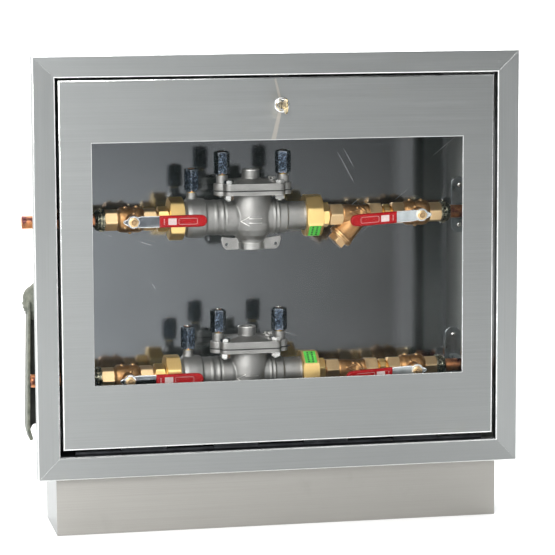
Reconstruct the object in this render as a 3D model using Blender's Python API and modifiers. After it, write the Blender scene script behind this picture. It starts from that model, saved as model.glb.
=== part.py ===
"""Twin-line backflow prevention cabinet.

A wall cabinet of folded stainless steel with a windowed, bottom-hinged door.
Inside run two identical water lines, one above the other. Water enters each
line at the right and leaves at the left, through: copper pipe, ball valve,
Y-strainer, union, reduced-pressure backflow preventer, union, ball valve,
copper pipe.

World frame: metres, +X to the right, +Y into the cabinet, +Z up. The origin is
at the middle of the bottom of the object's bounding box.
"""
import math

import bmesh
import bpy
from mathutils import Matrix, Vector

MM = 0.001
GAP = 0.3 * MM
SHEET = 1.5 * MM
STEPS = 16
FINE_STEPS = 16
COARSE_STEPS = 8

# Cabinet.
FRONT = -54.5 * MM
BACK = FRONT + 147.0 * MM
DROP = 83.4 * MM
FRAME_WIDTH = 700.0 * MM
FRAME_TOP = DROP + 597.6 * MM
BORDER = 32.0 * MM
OPENING_LOW = DROP + 32.9 * MM
OPENING_HIGH = FRAME_TOP - 31.2 * MM
RETURN_DEPTH = 19.4 * MM
REBATE_DEPTH = 12.0 * MM
BODY_WIDTH = 645.0 * MM
BODY_TOP = OPENING_HIGH + 3.4 * MM
PLINTH_FRONT = FRONT + 19.7 * MM
PLINTH_LIP = DROP + 20.0 * MM

# Door, window and hinge.
DOOR_FACE = FRONT + 3.8 * MM
DOOR_DEPTH = 13.0 * MM
DOOR_HALF = FRAME_WIDTH / 2 - BORDER - 3.9 * MM
DOOR_LOW = OPENING_LOW + 8.2 * MM
DOOR_HIGH = OPENING_HIGH - 2.9 * MM
WINDOW_HALF = 267.5 * MM
WINDOW_LOW = DROP + 133.0 * MM
WINDOW_HIGH = DROP + 474.7 * MM
GLASS = 4.0 * MM
HINGE_Y = FRONT + 5.0 * MM
HINGE_Z = OPENING_LOW + 4.0 * MM
KNUCKLE_RADIUS = 2.6 * MM
PIN_RADIUS = 1.3 * MM
KNUCKLES = 9
HINGE_LENGTH = 594.0 * MM

# Lock.
LOCK_Z = DROP + 524.0 * MM
LOCK_X = 2.4 * MM
PLUG_RADIUS = 6.0 * MM
CAM_FACE = FRONT + 23.5 * MM
CAM_LENGTH = 42.0 * MM

# The two water lines: (name, x of the preventer, y and z of the pipe axis, stub end).
LINES = (
    ("upper", -25.2 * MM, FRONT + 70.0 * MM, DROP + 360.0 * MM, 360.0 * MM),
    ("lower", -34.0 * MM, FRONT + 60.0 * MM, DROP + 134.2 * MM, 352.0 * MM),
)
PIPE_RADIUS = 19.05 / 2 * MM
PIPE_BORE = 8.6 * MM
WATERWAY = 9.0 * MM
VALVE_OUT_X = -180.5 * MM
VALVE_IN_X = 239.5 * MM
BALL_RADIUS = 13.0 * MM
STEM_RADIUS = 4.0 * MM
LEVER_Y = -37.2 * MM
NUT_RADIUS = 31.4 * MM
AXIS_X = -4.7 * MM
TEST_COCKS = (-44.6 * MM, 44.6 * MM)
TEST_COCK_Y = -14.4 * MM
BOLT_X = 36.9 * MM
BOLT_DEPTHS = (-28.0 * MM, 31.0 * MM)
FLANGE_LOW = 33.7 * MM
FLANGE_TOP = 39.7 * MM
COVER_LOW = 40.6 * MM
COVER_TOP = 50.4 * MM
RELIEF_TRAVEL = 6.0 * MM
RELIEF_SEAT = -28.0 * MM
CHAMBER_RADIUS = 19.0 * MM

COLLECTION = "backflow_preventer"

MATERIALS = {
    "stainless": ((0.56, 0.57, 0.56), 0.38, 1.0),
    "glass": ((0.80, 0.86, 0.86), 0.05, 0.0),
    "black_rubber": ((0.03, 0.03, 0.03), 0.60, 0.0),
    "chrome": ((0.62, 0.62, 0.62), 0.15, 1.0),
    "key_brass": ((0.72, 0.58, 0.32), 0.30, 1.0),
    "zinc": ((0.50, 0.53, 0.54), 0.35, 1.0),
    "drain_plastic": ((0.42, 0.46, 0.40), 0.60, 0.0),
    "copper": ((0.62, 0.33, 0.22), 0.35, 1.0),
    "bronze": ((0.55, 0.40, 0.22), 0.40, 1.0),
    "brass": ((0.80, 0.60, 0.22), 0.25, 1.0),
    "cast_grey": ((0.46, 0.46, 0.44), 0.50, 1.0),
    "black_chrome": ((0.10, 0.13, 0.17), 0.20, 1.0),
    "red_vinyl": ((0.70, 0.03, 0.05), 0.45, 0.0),
    "inner_plastic": ((0.75, 0.75, 0.70), 0.50, 0.0),
}


# ---------------------------------------------------------------- scene and materials

def clear_scene():
    """Remove the objects that the file starts with."""
    for old in list(bpy.data.objects):
        bpy.data.objects.remove(old, do_unlink=True)


def make_collection(name):
    group = bpy.data.collections.new(name)
    bpy.context.scene.collection.children.link(group)
    return group


def make_material(name, kind):
    """Principled material for one sub-part."""
    color, roughness, metallic = MATERIALS[kind]
    material = bpy.data.materials.new(name)
    material.use_nodes = True
    shader = material.node_tree.nodes["Principled BSDF"]
    shader.inputs["Base Color"].default_value = (*color, 1.0)
    shader.inputs["Roughness"].default_value = roughness
    shader.inputs["Metallic"].default_value = metallic
    if kind == "glass":
        shader.inputs["Alpha"].default_value = 0.35
    return material


# ---------------------------------------------------------------- modelling helpers

def object_from_bmesh(shape):
    mesh = bpy.data.meshes.new("shape")
    shape.to_mesh(mesh)
    shape.free()
    made = bpy.data.objects.new("shape", mesh)
    bpy.context.scene.collection.objects.link(made)
    return made


def box(low, high):
    """Axis-aligned box between two corners."""
    low = Vector(low)
    high = Vector(high)
    size = high - low
    shape = bmesh.new()
    bmesh.ops.create_cube(shape, size=1.0)
    bmesh.ops.scale(shape, vec=size, verts=shape.verts)
    bmesh.ops.translate(shape, vec=(low + high) / 2, verts=shape.verts)
    return object_from_bmesh(shape)


def rod(radius, start, end, steps=STEPS, end_radius=None, phase=0.0):
    """Cylinder, prism or cone from one point to another."""
    start = Vector(start)
    end = Vector(end)
    reach = end - start
    shape = bmesh.new()
    tip_radius = radius if end_radius is None else end_radius
    bmesh.ops.create_cone(shape, cap_ends=True, segments=steps, radius1=radius,
                          radius2=tip_radius, depth=reach.length)
    turn = reach.to_track_quat("Z", "Y").to_matrix().to_4x4()
    spin = Matrix.Rotation(phase, 4, "Z")
    place = Matrix.Translation((start + end) / 2) @ turn @ spin
    bmesh.ops.transform(shape, matrix=place, verts=shape.verts)
    return object_from_bmesh(shape)


def hexagon(corner_radius, start, end, phase=0.0):
    return rod(corner_radius, start, end, steps=6, phase=phase)


def clear(radius, steps=STEPS):
    """Radius of a faceted bore whose flats stay one gap clear of a round shaft."""
    return (radius + GAP) / math.cos(math.pi / steps)


def ball(radius, centre, rings=8, steps=STEPS):
    shape = bmesh.new()
    bmesh.ops.create_uvsphere(shape, u_segments=steps, v_segments=rings, radius=radius)
    bmesh.ops.translate(shape, vec=Vector(centre), verts=shape.verts)
    return object_from_bmesh(shape)


def turned(profile, steps=STEPS):
    """Solid of revolution about Z from (radius, height) points, outside, top to bottom."""
    shape = bmesh.new()
    points = [shape.verts.new((radius, 0.0, height)) for radius, height in profile]
    for first, second in zip(points, points[1:]):
        shape.edges.new((first, second))
    made = object_from_bmesh(shape)
    screw = made.modifiers.new("Screw", "SCREW")
    screw.axis = "Z"
    screw.steps = steps
    screw.render_steps = steps
    screw.use_merge_vertices = True
    screw.merge_threshold = 0.00001
    return baked(made)


def plate(outline, thickness):
    """Flat plate in the XZ plane, centred on y = 0, from a closed outline."""
    curve = bpy.data.curves.new("outline", "CURVE")
    curve.dimensions = "2D"
    curve.fill_mode = "BOTH"
    curve.extrude = thickness / 2
    spline = curve.splines.new("POLY")
    spline.points.add(len(outline) - 1)
    for point, (x, z) in zip(spline.points, outline):
        point.co = (x, z, 0.0, 1.0)
    spline.use_cyclic_u = True
    made = bpy.data.objects.new("outline", curve)
    bpy.context.scene.collection.objects.link(made)
    flat = baked(made)
    flat.data.transform(Matrix.Rotation(math.pi / 2, 4, "X"))
    return flat


def arc(centre_x, centre_z, radius, start, end, count=6):
    """Points along an arc, angles in degrees."""
    points = []
    for step in range(count + 1):
        angle = math.radians(start + (end - start) * step / count)
        points.append((centre_x + radius * math.cos(angle), centre_z + radius * math.sin(angle)))
    return points


def baked(source):
    """Replace an object that has modifiers, or a curve, by its finished mesh."""
    bpy.context.view_layer.update()
    graph = bpy.context.evaluated_depsgraph_get()
    mesh = bpy.data.meshes.new_from_object(source.evaluated_get(graph))
    shape = bmesh.new()
    shape.from_mesh(mesh)
    bmesh.ops.remove_doubles(shape, verts=shape.verts, dist=0.000001)
    shape.to_mesh(mesh)
    shape.free()
    made = bpy.data.objects.new("baked", mesh)
    made.matrix_world = source.matrix_world
    bpy.context.scene.collection.objects.link(made)
    bpy.data.objects.remove(source, do_unlink=True)
    return made


def combine(base, tools, operation):
    """Union or difference of an object with each tool in turn; the tools are used up."""
    for tool in tools:
        boolean = base.modifiers.new("Boolean", "BOOLEAN")
        boolean.operation = operation
        boolean.solver = "EXACT"
        boolean.object = tool
        base = baked(base)
        bpy.data.objects.remove(tool, do_unlink=True)
    return base


def joined(base, *tools):
    return combine(base, tools, "UNION")


def cut(base, *tools):
    return combine(base, tools, "DIFFERENCE")


def along_x(made):
    """Turn a solid of revolution from the Z axis to the X axis."""
    made.data.transform(Matrix.Rotation(math.pi / 2, 4, "Y"))
    return made


def finish(made, name, kind, origin=(0.0, 0.0, 0.0), pivot=(0.0, 0.0, 0.0)):
    """Name the sub-part, give it its material and put its origin on its pivot.

    The mesh is drawn around `origin`; `pivot` is in the same local frame.
    """
    made.name = name
    made.data.name = name
    made.data.transform(Matrix.Translation(-Vector(pivot)))
    made.location = Vector(origin) + Vector(pivot)
    made.data.materials.clear()
    made.data.materials.append(make_material(name, kind))
    made.data.shade_smooth()
    made.data.set_sharp_from_angle(angle=math.radians(35))
    for group in list(made.users_collection):
        group.objects.unlink(made)
    bpy.data.collections[COLLECTION].objects.link(made)
    return made


# ---------------------------------------------------------------- cabinet

def add_cabinet_shell():
    """Folded box: sides, top, base, back, and the low front panel of the plinth."""
    half = BODY_WIDTH / 2
    shell_front = FRONT + SHEET + GAP
    shell = box((-half, shell_front, 0.0), (half, BACK, BODY_TOP))
    inside = box((-half + SHEET, shell_front - 0.01, SHEET),
                 (half - SHEET, BACK - SHEET, BODY_TOP - SHEET))
    below_frame = box((-0.4, shell_front - 0.01, -0.01),
                      (0.4, PLINTH_FRONT, DROP + SHEET + GAP))
    shell = cut(shell, inside, below_frame)
    panel = box((-half, PLINTH_FRONT, 0.0), (half, PLINTH_FRONT + SHEET, PLINTH_LIP))
    shell = joined(shell, panel)
    for _, _, pipe_y, pipe_z, _ in LINES:
        hole = rod(PIPE_RADIUS + SHEET, (-0.4, pipe_y, pipe_z), (0.4, pipe_y, pipe_z))
        shell = cut(shell, hole)
    finish(shell, "cabinet_shell", "stainless")


def add_front_frame():
    """Mitred front frame: flat border, outer return, door rebate and the lock's keeper."""
    half = FRAME_WIDTH / 2
    inner = half - BORDER
    back = FRONT + RETURN_DEPTH
    rebate = FRONT + REBATE_DEPTH
    frame = box((-half, FRONT, DROP), (half, back, FRAME_TOP))
    opening = box((-inner, FRONT - 0.01, OPENING_LOW), (inner, back + 0.01, OPENING_HIGH))
    behind = box((-half + SHEET, rebate, DROP + SHEET), (half - SHEET, back + 0.01, FRAME_TOP - SHEET))
    channel = box((-half + SHEET, FRONT + SHEET, DROP + SHEET),
                  (half - SHEET, rebate + 0.001, FRAME_TOP - SHEET))
    core = box((-inner - SHEET, FRONT, OPENING_LOW - SHEET),
               (inner + SHEET, rebate + 0.002, OPENING_HIGH + SHEET))
    channel = cut(channel, core)
    frame = cut(frame, opening, behind, channel)
    keeper_half = 14.0 * MM
    keeper_back = CAM_FACE - GAP
    shelf = box((LOCK_X - keeper_half, rebate - 0.001, OPENING_HIGH),
                (LOCK_X + keeper_half, keeper_back, OPENING_HIGH + SHEET))
    tongue = box((LOCK_X - keeper_half, keeper_back - SHEET, OPENING_HIGH - 9.0 * MM),
                 (LOCK_X + keeper_half, keeper_back, OPENING_HIGH + SHEET))
    frame = joined(frame, joined(shelf, tongue))
    finish(frame, "front_frame", "stainless")


def knuckle_spans():
    """Start and end of each hinge knuckle along X, left to right."""
    pitch = HINGE_LENGTH / KNUCKLES
    spans = []
    for index in range(KNUCKLES):
        left = -HINGE_LENGTH / 2 + index * pitch
        spans.append((left + GAP, left + pitch - GAP))
    return spans


def add_door_panel():
    """Folded door with its window opening, lock hole and hinge knuckles."""
    back = DOOR_FACE + DOOR_DEPTH
    door = box((-DOOR_HALF, DOOR_FACE, DOOR_LOW), (DOOR_HALF, back, DOOR_HIGH))
    inside = box((-DOOR_HALF + SHEET, DOOR_FACE + SHEET, DOOR_LOW + SHEET),
                 (DOOR_HALF - SHEET, back + 0.01, DOOR_HIGH - SHEET))
    window = box((-WINDOW_HALF, DOOR_FACE - 0.01, WINDOW_LOW), (WINDOW_HALF, back, WINDOW_HIGH))
    lock_hole = rod(9.3 * MM, (LOCK_X, DOOR_FACE - 0.01, LOCK_Z), (LOCK_X, back, LOCK_Z))
    door = cut(door, inside, window, lock_hole)
    for left, right in knuckle_spans()[1::2]:
        knuckle = rod(KNUCKLE_RADIUS, (left, HINGE_Y, HINGE_Z), (right, HINGE_Y, HINGE_Z),
                      steps=COARSE_STEPS)
        web = box((left, HINGE_Y - 1.0 * MM, HINGE_Z + 1.0 * MM),
                  (right, HINGE_Y + 1.0 * MM, DOOR_LOW + 1.0 * MM))
        bore = rod(clear(PIN_RADIUS, COARSE_STEPS), (left - 0.001, HINGE_Y, HINGE_Z),
                   (right + 0.001, HINGE_Y, HINGE_Z), steps=COARSE_STEPS)
        door = joined(door, cut(joined(knuckle, web), bore))
    finish(door, "door_panel", "stainless", pivot=(0.0, HINGE_Y, HINGE_Z))


def add_hinge_leaf():
    """Frame leaf of the bottom hinge, with the long pin through every knuckle."""
    half = HINGE_LENGTH / 2
    leaf_top = HINGE_Z - KNUCKLE_RADIUS - GAP
    leaf = box((-half, HINGE_Y - 2.0 * MM, OPENING_LOW + GAP), (half, FRONT + REBATE_DEPTH, leaf_top))
    pin = rod(PIN_RADIUS, (-half, HINGE_Y, HINGE_Z), (half, HINGE_Y, HINGE_Z), steps=COARSE_STEPS)
    for left, right in knuckle_spans()[0::2]:
        knuckle = rod(KNUCKLE_RADIUS, (left, HINGE_Y, HINGE_Z), (right, HINGE_Y, HINGE_Z),
                      steps=COARSE_STEPS)
        web = box((left, HINGE_Y - 1.0 * MM, leaf_top - 0.2 * MM),
                  (right, HINGE_Y + 1.0 * MM, HINGE_Z - 1.6 * MM))
        leaf = joined(leaf, joined(knuckle, web))
    leaf = joined(leaf, pin)
    finish(leaf, "hinge_leaf", "zinc", pivot=(0.0, HINGE_Y, HINGE_Z))


def add_window():
    """Glass pane behind the door's skin and the rubber-faced ring that holds it."""
    lap = 12.0 * MM
    glass_front = DOOR_FACE + SHEET + GAP
    glass_back = glass_front + GLASS
    pane = box((-WINDOW_HALF - lap, glass_front, WINDOW_LOW - lap),
               (WINDOW_HALF + lap, glass_back, WINDOW_HIGH + lap))
    finish(pane, "window_pane", "glass")
    edge = 15.0 * MM
    ring_front = glass_back + GAP
    ring_back = ring_front + 2.0 * MM
    ring = box((-WINDOW_HALF - edge, ring_front, WINDOW_LOW - edge),
               (WINDOW_HALF + edge, ring_back, WINDOW_HIGH + edge))
    inset = 2.0 * MM
    hole = box((-WINDOW_HALF - inset, ring_front - 0.01, WINDOW_LOW - inset),
               (WINDOW_HALF + inset, ring_back + 0.01, WINDOW_HIGH + inset))
    finish(cut(ring, hole), "window_retainer", "black_rubber")


def add_lock():
    """Cam lock: fixed body in the door, turning plug with its cam, and the key."""
    def at(y_value, x_value=0.0, z_value=0.0):
        return (LOCK_X + x_value, y_value, LOCK_Z + z_value)

    face = DOOR_FACE - 4.0 * MM
    body_back = CAM_FACE - 1.0 * MM
    flange = rod(10.2 * MM, at(face), at(DOOR_FACE - GAP), end_radius=11.3 * MM)
    barrel = rod(9.0 * MM, at(DOOR_FACE - 1.0 * MM), at(body_back))
    bore = rod(clear(PLUG_RADIUS), at(face - 0.01), at(body_back + 0.01))
    finish(cut(joined(flange, barrel), bore), "lock_body", "chrome")

    plug = rod(PLUG_RADIUS, at(face - 0.4 * MM), at(CAM_FACE + 2.0 * MM))
    cam = box(at(CAM_FACE, -7.0 * MM, -7.0 * MM), at(CAM_FACE + 2.0 * MM, CAM_LENGTH, 7.0 * MM))
    slot = box(at(face - 0.01, -1.3 * MM, -4.3 * MM), at(face + 20.0 * MM, 1.3 * MM, 4.3 * MM))
    pivot = at(face)
    finish(cut(joined(plug, cam), slot), "lock_plug", "chrome", pivot=pivot)

    blade = box(at(face - 12.0 * MM, -1.0 * MM, -4.0 * MM), at(face + 18.0 * MM, 1.0 * MM, 4.0 * MM))
    bow_radius = 11.0 * MM
    bow_y = face - 26.5 * MM
    bow = rod(bow_radius, (LOCK_X - 1.0 * MM, bow_y, LOCK_Z), (LOCK_X + 1.0 * MM, bow_y, LOCK_Z))
    neck = box(at(face - 18.0 * MM, -1.0 * MM, -5.5 * MM), at(face - 8.0 * MM, 1.0 * MM, 5.5 * MM))
    eye = rod(2.5 * MM, (LOCK_X - 0.01, bow_y - 5.5 * MM, LOCK_Z),
              (LOCK_X + 0.01, bow_y - 5.5 * MM, LOCK_Z), steps=COARSE_STEPS)
    finish(cut(joined(blade, neck, bow), eye), "key", "key_brass", pivot=pivot)


def add_pipe_clip(name, centre_x, pipe_y, pipe_z, low, high):
    """Oblong wall plate, standoff arm and ring that hold one inlet pipe."""
    wall = BACK - SHEET - GAP
    thickness = 2.0 * MM
    half = 12.0 * MM
    outline = arc(0.0, high - half, half, 0.0, 180.0) + arc(0.0, low + half, half, 180.0, 360.0)
    back_plate = plate(outline, thickness)
    back_plate.data.transform(Matrix.Translation((0.0, wall - thickness / 2 - pipe_y, 0.0)))
    ring_half = 6.0 * MM
    ring_radius = PIPE_RADIUS + 3.0 * MM
    ring = rod(ring_radius, (-ring_half, 0.0, 0.0), (ring_half, 0.0, 0.0))
    arm = box((-ring_half, 8.0 * MM, -2.5 * MM), (ring_half, wall - pipe_y - 1.0 * MM, 2.5 * MM))
    screws = []
    for height in (low + half, high - half):
        head_y = wall - thickness - pipe_y
        screws.append(rod(4.0 * MM, (0.0, head_y + 0.5 * MM, height),
                          (0.0, head_y - 2.5 * MM, height), steps=COARSE_STEPS,
                          end_radius=2.5 * MM))
    clip = joined(arm, ring, back_plate)
    clip = joined(clip, *screws)
    bore = rod(clear(PIPE_RADIUS), (-0.02, 0.0, 0.0), (0.02, 0.0, 0.0))
    finish(cut(clip, bore), name, "zinc", origin=(centre_x, pipe_y, pipe_z))


def add_side_drain():
    """Moulded drip channel on the left wall: ribbed hood, back web and outer wall."""
    wall_x = -BODY_WIDTH / 2 - GAP
    web_front = FRONT + 112.0 * MM
    web_back = web_front + 2.5 * MM
    high = DROP + 236.0 * MM
    low = DROP + 50.0 * MM
    outer_top = -352.0 * MM
    outer_low = -356.5 * MM
    web_outline = [(wall_x, low + 12.0 * MM), (wall_x, high), (outer_top, high), (outer_low, low + 10.0 * MM),
                   (outer_low + 5.0 * MM, low - 6.0 * MM), (outer_low + 11.0 * MM, low + 10.0 * MM)]
    web = plate(web_outline, web_back - web_front)
    web.data.transform(Matrix.Translation((0.0, (web_front + web_back) / 2, 0.0)))
    skin = 2.5 * MM
    depth = 38.0 * MM
    wall_outline = [(outer_top, high), (outer_low, low + 10.0 * MM), (outer_low + 5.0 * MM, low - 6.0 * MM),
                    (outer_low + 5.0 * MM + skin, low - 5.0 * MM), (outer_low + skin, low + 10.0 * MM),
                    (outer_top + skin, high)]
    outer_wall = plate(wall_outline, depth)
    outer_wall.data.transform(Matrix.Translation((0.0, web_back - depth / 2, 0.0)))
    drain = joined(web, outer_wall)
    hood = ball(1.0, (0.0, 0.0, 0.0))
    hood.data.transform(Matrix.Diagonal((23.0 * MM, 19.0 * MM, 28.0 * MM, 1.0)))
    hood.data.transform(Matrix.Translation((-336.0 * MM, web_back - depth / 2, high + 7.0 * MM)))
    drain = joined(drain, hood)
    trim = box((wall_x, FRONT, 0.0), (0.0, BACK + 0.1, 1.0))
    finish(cut(drain, trim), "side_drain_channel", "drain_plastic")


# ---------------------------------------------------------------- ball valves

def add_valve(line, end, centre_x, side, origin):
    """Ball valve; `side` is -1 or +1, the X direction from the valve to its copper pipe."""
    def x_at(reach):
        return centre_x + side * reach * MM

    def span(radius, near, far, steps=STEPS, end_radius=None, phase=0.0):
        return rod(radius * MM, (x_at(near), 0.0, 0.0), (x_at(far), 0.0, 0.0), steps=steps,
                   end_radius=None if end_radius is None else end_radius * MM, phase=phase)

    def placed(profile):
        """Turned shape whose heights are reaches from the valve's centre towards its pipe."""
        shape = along_x(turned([(radius * MM, reach * MM) for radius, reach in profile]))
        if side < 0:
            shape.data.transform(Matrix.Rotation(math.pi, 4, "Z"))
        shape.data.transform(Matrix.Translation((centre_x, 0.0, 0.0)))
        return shape

    tilt = math.radians(18)
    body = placed([(0.0, 51.0), (11.6, 51.0), (15.2, 46.0), (16.2, 37.0), (14.5, 36.9), (14.5, 19.0),
                   (18.3, 15.0), (18.3, -15.0), (14.5, -19.0), (14.5, -36.8), (0.0, -36.8)])
    body = joined(
        body,
        span(15.8, 18.0, 37.5, steps=6, phase=tilt),
        span(16.8, -18.0, -37.0, steps=6, phase=tilt),
        rod(8.5 * MM, (centre_x, -12.0 * MM, 0.0), (centre_x, -35.0 * MM, 0.0)),
    )
    cavity = BALL_RADIUS / MM + 0.7
    pipe_socket = clear(PIPE_RADIUS) / MM
    bore = placed([(0.0, 60.0), (pipe_socket, 60.0), (pipe_socket, 22.0), (WATERWAY / MM, 22.0),
                   (WATERWAY / MM, cavity), (cavity, cavity), (cavity, -cavity),
                   (WATERWAY / MM, -cavity), (WATERWAY / MM, -25.0), (13.2, -25.0), (13.2, -60.0),
                   (0.0, -60.0)])
    stem_hole = rod(clear(STEM_RADIUS, COARSE_STEPS), (centre_x, -5.0 * MM, 0.0),
                    (centre_x, -60.0 * MM, 0.0), steps=COARSE_STEPS)
    body = cut(body, bore, stem_hole)
    finish(body, f"valve_{end}_body_{line}", "bronze", origin)

    pivot = (centre_x, 0.0, 0.0)
    core = ball(BALL_RADIUS, pivot)
    stem = rod(STEM_RADIUS, (centre_x, -9.0 * MM, 0.0), (centre_x, -45.0 * MM, 0.0),
               steps=COARSE_STEPS)
    port = rod(8.6 * MM, (centre_x - 0.03, 0.0, 0.0), (centre_x + 0.03, 0.0, 0.0))
    finish(cut(joined(core, stem), port), f"valve_{end}_ball_{line}", "chrome", origin, pivot)

    add_lever(line, end, centre_x, -side, origin)


def add_lever(line, end, centre_x, direction, origin):
    """Steel strap with its nut, and the dipped grip. `direction` is the X way it points."""
    pivot = (centre_x, LEVER_Y, 0.0)
    droop = 0.06 if direction < 0 else 0.0
    strap_half = 8.6 * MM
    tip = 96.0 * MM
    grip_start = 37.0 * MM

    def drop(reach):
        return -droop * max(reach, 0.0)

    outline = [(-14.0 * MM, 3.0 * MM), (-10.0 * MM, strap_half), (6.0 * MM, strap_half + 0.6 * MM),
               (grip_start, strap_half * 0.85 + drop(grip_start)), (tip, strap_half * 0.7 + drop(tip)),
               (tip, -strap_half * 0.7 + drop(tip)),
               (grip_start, -strap_half * 0.85 + drop(grip_start)), (6.0 * MM, -strap_half - 0.6 * MM),
               (-5.0 * MM, -strap_half), (-14.0 * MM, -2.0 * MM)]
    shaped = [(centre_x + direction * x, z) for x, z in outline]
    strap = plate(shaped, 2.4 * MM)
    strap.data.transform(Matrix.Translation((0.0, LEVER_Y, 0.0)))
    lock_nut = hexagon(7.5 * MM, (centre_x, LEVER_Y - 0.5 * MM, 0.0), (centre_x, LEVER_Y - 6.0 * MM, 0.0))
    eye = rod(clear(STEM_RADIUS, COARSE_STEPS), (centre_x, LEVER_Y + 0.01, 0.0),
              (centre_x, LEVER_Y - 0.01, 0.0), steps=COARSE_STEPS)
    finish(cut(joined(strap, lock_nut), eye), f"valve_{end}_lever_{line}", "zinc", origin, pivot)

    grip_end = 105.0 * MM
    end_drop = drop(grip_end)
    grip_outline = [(grip_start, 8.4 * MM + drop(grip_start)), (grip_end - 9.0 * MM, 8.6 * MM + end_drop)]
    grip_outline += arc(grip_end - 7.0 * MM, end_drop, 7.0 * MM, 60.0, -60.0, count=6)
    grip_outline += [(grip_end - 9.0 * MM, -8.6 * MM + end_drop), (grip_start, -8.4 * MM + drop(grip_start))]
    shaped = [(centre_x + direction * x, z) for x, z in grip_outline]
    grip = plate(shaped, 8.0 * MM)
    grip.data.transform(Matrix.Translation((0.0, LEVER_Y, 0.0)))
    pocket_half = strap_half * 0.85 + GAP
    pocket_outline = [(grip_start - 2.0 * MM, pocket_half + drop(grip_start)),
                      (tip + GAP, strap_half * 0.7 + GAP + drop(tip)),
                      (tip + GAP, -strap_half * 0.7 - GAP + drop(tip)),
                      (grip_start - 2.0 * MM, -pocket_half + drop(grip_start))]
    pocket = plate([(centre_x + direction * x, z) for x, z in pocket_outline], 2.4 * MM + 2 * GAP)
    pocket.data.transform(Matrix.Translation((0.0, LEVER_Y, 0.0)))
    finish(cut(grip, pocket), f"valve_{end}_grip_{line}", "red_vinyl", origin, pivot)


# ---------------------------------------------------------------- preventer

def upright(radius, low, high, x, y=0.0, steps=STEPS, end_radius=None, phase=0.0):
    """Vertical cylinder, prism or cone at a place measured from the preventer's upright axis."""
    return rod(radius, (AXIS_X + x, y, low), (AXIS_X + x, y, high), steps=steps,
               end_radius=end_radius, phase=phase)


def add_preventer_body(line, origin):
    """Cast body: check chambers along X, upright barrel, flange, drain port and lugs."""
    barrel = turned([(0.0, 0.0345), (0.0278, 0.0345), (0.0296, 0.0240), (0.0316, 0.0130),
                     (0.0328, 0.0020), (0.0326, -0.0080), (0.0304, -0.0170), (0.0256, -0.0255),
                     (0.0198, -0.0316), (0.0184, -0.0350), (0.0184, -0.0463), (0.0, -0.0463)],
                    FINE_STEPS)
    barrel.data.transform(Matrix.Translation((AXIS_X, 0.0, 0.0)))
    outlet = along_x(turned([(0.0, -0.0200), (0.0255, -0.0200), (0.0262, -0.0712), (0.0286, -0.0722),
                             (0.0286, -0.0990), (0.0240, -0.1022), (0.0240, -0.1180),
                             (0.0, -0.1180)], FINE_STEPS))
    inlet = along_x(turned([(0.0, 0.0900), (0.0212, 0.0900), (0.0214, 0.0482), (0.0246, 0.0470),
                            (0.0250, 0.0150), (0.0, 0.0150)], FINE_STEPS))
    body = joined(barrel, outlet, inlet)
    body = joined(body, cover_plate(FLANGE_LOW, FLANGE_TOP))
    for side in (-1, 1):
        for depth in BOLT_DEPTHS:
            bolt_x = side * BOLT_X
            bolt_nut = upright(7.3 * MM, FLANGE_LOW - 6.2 * MM, FLANGE_LOW + 0.2 * MM, bolt_x, depth, steps=6)
            bolt_end = upright(3.6 * MM, FLANGE_LOW - 8.4 * MM, FLANGE_LOW - 5.8 * MM, bolt_x, depth,
                               steps=COARSE_STEPS)
            body = joined(body, joined(bolt_nut, bolt_end))
        body = joined(body, lug(side))
    neck = rod(7.0 * MM, (-91.0 * MM, 0.0, 20.0 * MM), (-91.0 * MM, 0.0, 36.8 * MM),
               steps=COARSE_STEPS)
    cock = rod(5.4 * MM, (-91.0 * MM, 0.0, 36.0 * MM), (-91.0 * MM, 0.0, 60.0 * MM),
               steps=COARSE_STEPS)
    body = joined(body, neck, cock)

    waterway = along_x(turned([(0.0, 0.130), (0.015, 0.130), (0.015, 0.062), (0.0095, 0.062),
                               (0.0095, 0.058), (0.015, 0.058), (0.015, -0.058), (0.0095, -0.058),
                               (0.0095, -0.062), (0.019, -0.062), (0.019, -0.130), (0.0, -0.130)]))
    chamber = upright(CHAMBER_RADIUS, RELIEF_SEAT, 60.0 * MM, 0.0)
    drain_port = upright(11.0 * MM, -60.0 * MM, -10.0 * MM, 0.0)
    body = cut(body, waterway, chamber, drain_port)
    finish(body, f"rpz_body_{line}", "cast_grey", origin)


def cover_plate(low, high):
    """Rounded rectangle with an ear at each side for a test cock, extruded upward."""
    half_x = 43.5 * MM
    half_y = 40.0 * MM
    corner = 7.0 * MM
    ear = 12.0 * MM
    left_ear, right_ear = TEST_COCKS
    shift = 1.5 * MM
    ear_y = TEST_COCK_Y - shift
    outline = (arc(half_x - corner, -half_y + corner, corner, -90.0, 0.0, 3)
               + arc(right_ear, ear_y, ear, -90.0, 90.0, 8)
               + arc(half_x - corner, half_y - corner, corner, 0.0, 90.0, 3)
               + arc(-half_x + corner, half_y - corner, corner, 90.0, 180.0, 3)
               + arc(left_ear, ear_y, ear, 90.0, 270.0, 8)
               + arc(-half_x + corner, -half_y + corner, corner, 180.0, 270.0, 3))
    flange = plate(outline, high - low)
    flange.data.transform(Matrix.Rotation(-math.pi / 2, 4, "X"))
    flange.data.transform(Matrix.Translation((AXIS_X, shift, (low + high) / 2)))
    return flange


def lug(side):
    """Flat mounting lug with one screw hole, beside the drain port."""
    outline = [(14.0, -25.0), (24.0, -30.5), (43.0, -28.0), (44.0, -33.0), (41.0, -43.0),
               (36.5, -47.4), (14.0, -47.4)]
    shaped = [(AXIS_X + side * x * MM, z * MM) for x, z in outline]
    ear = plate(shaped, 5.0 * MM)
    hole_x = AXIS_X + side * 36.0 * MM
    hole = rod(2.6 * MM, (hole_x, -0.01, -39.5 * MM), (hole_x, 0.01, -39.5 * MM),
               steps=COARSE_STEPS)
    return cut(ear, hole)


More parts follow.
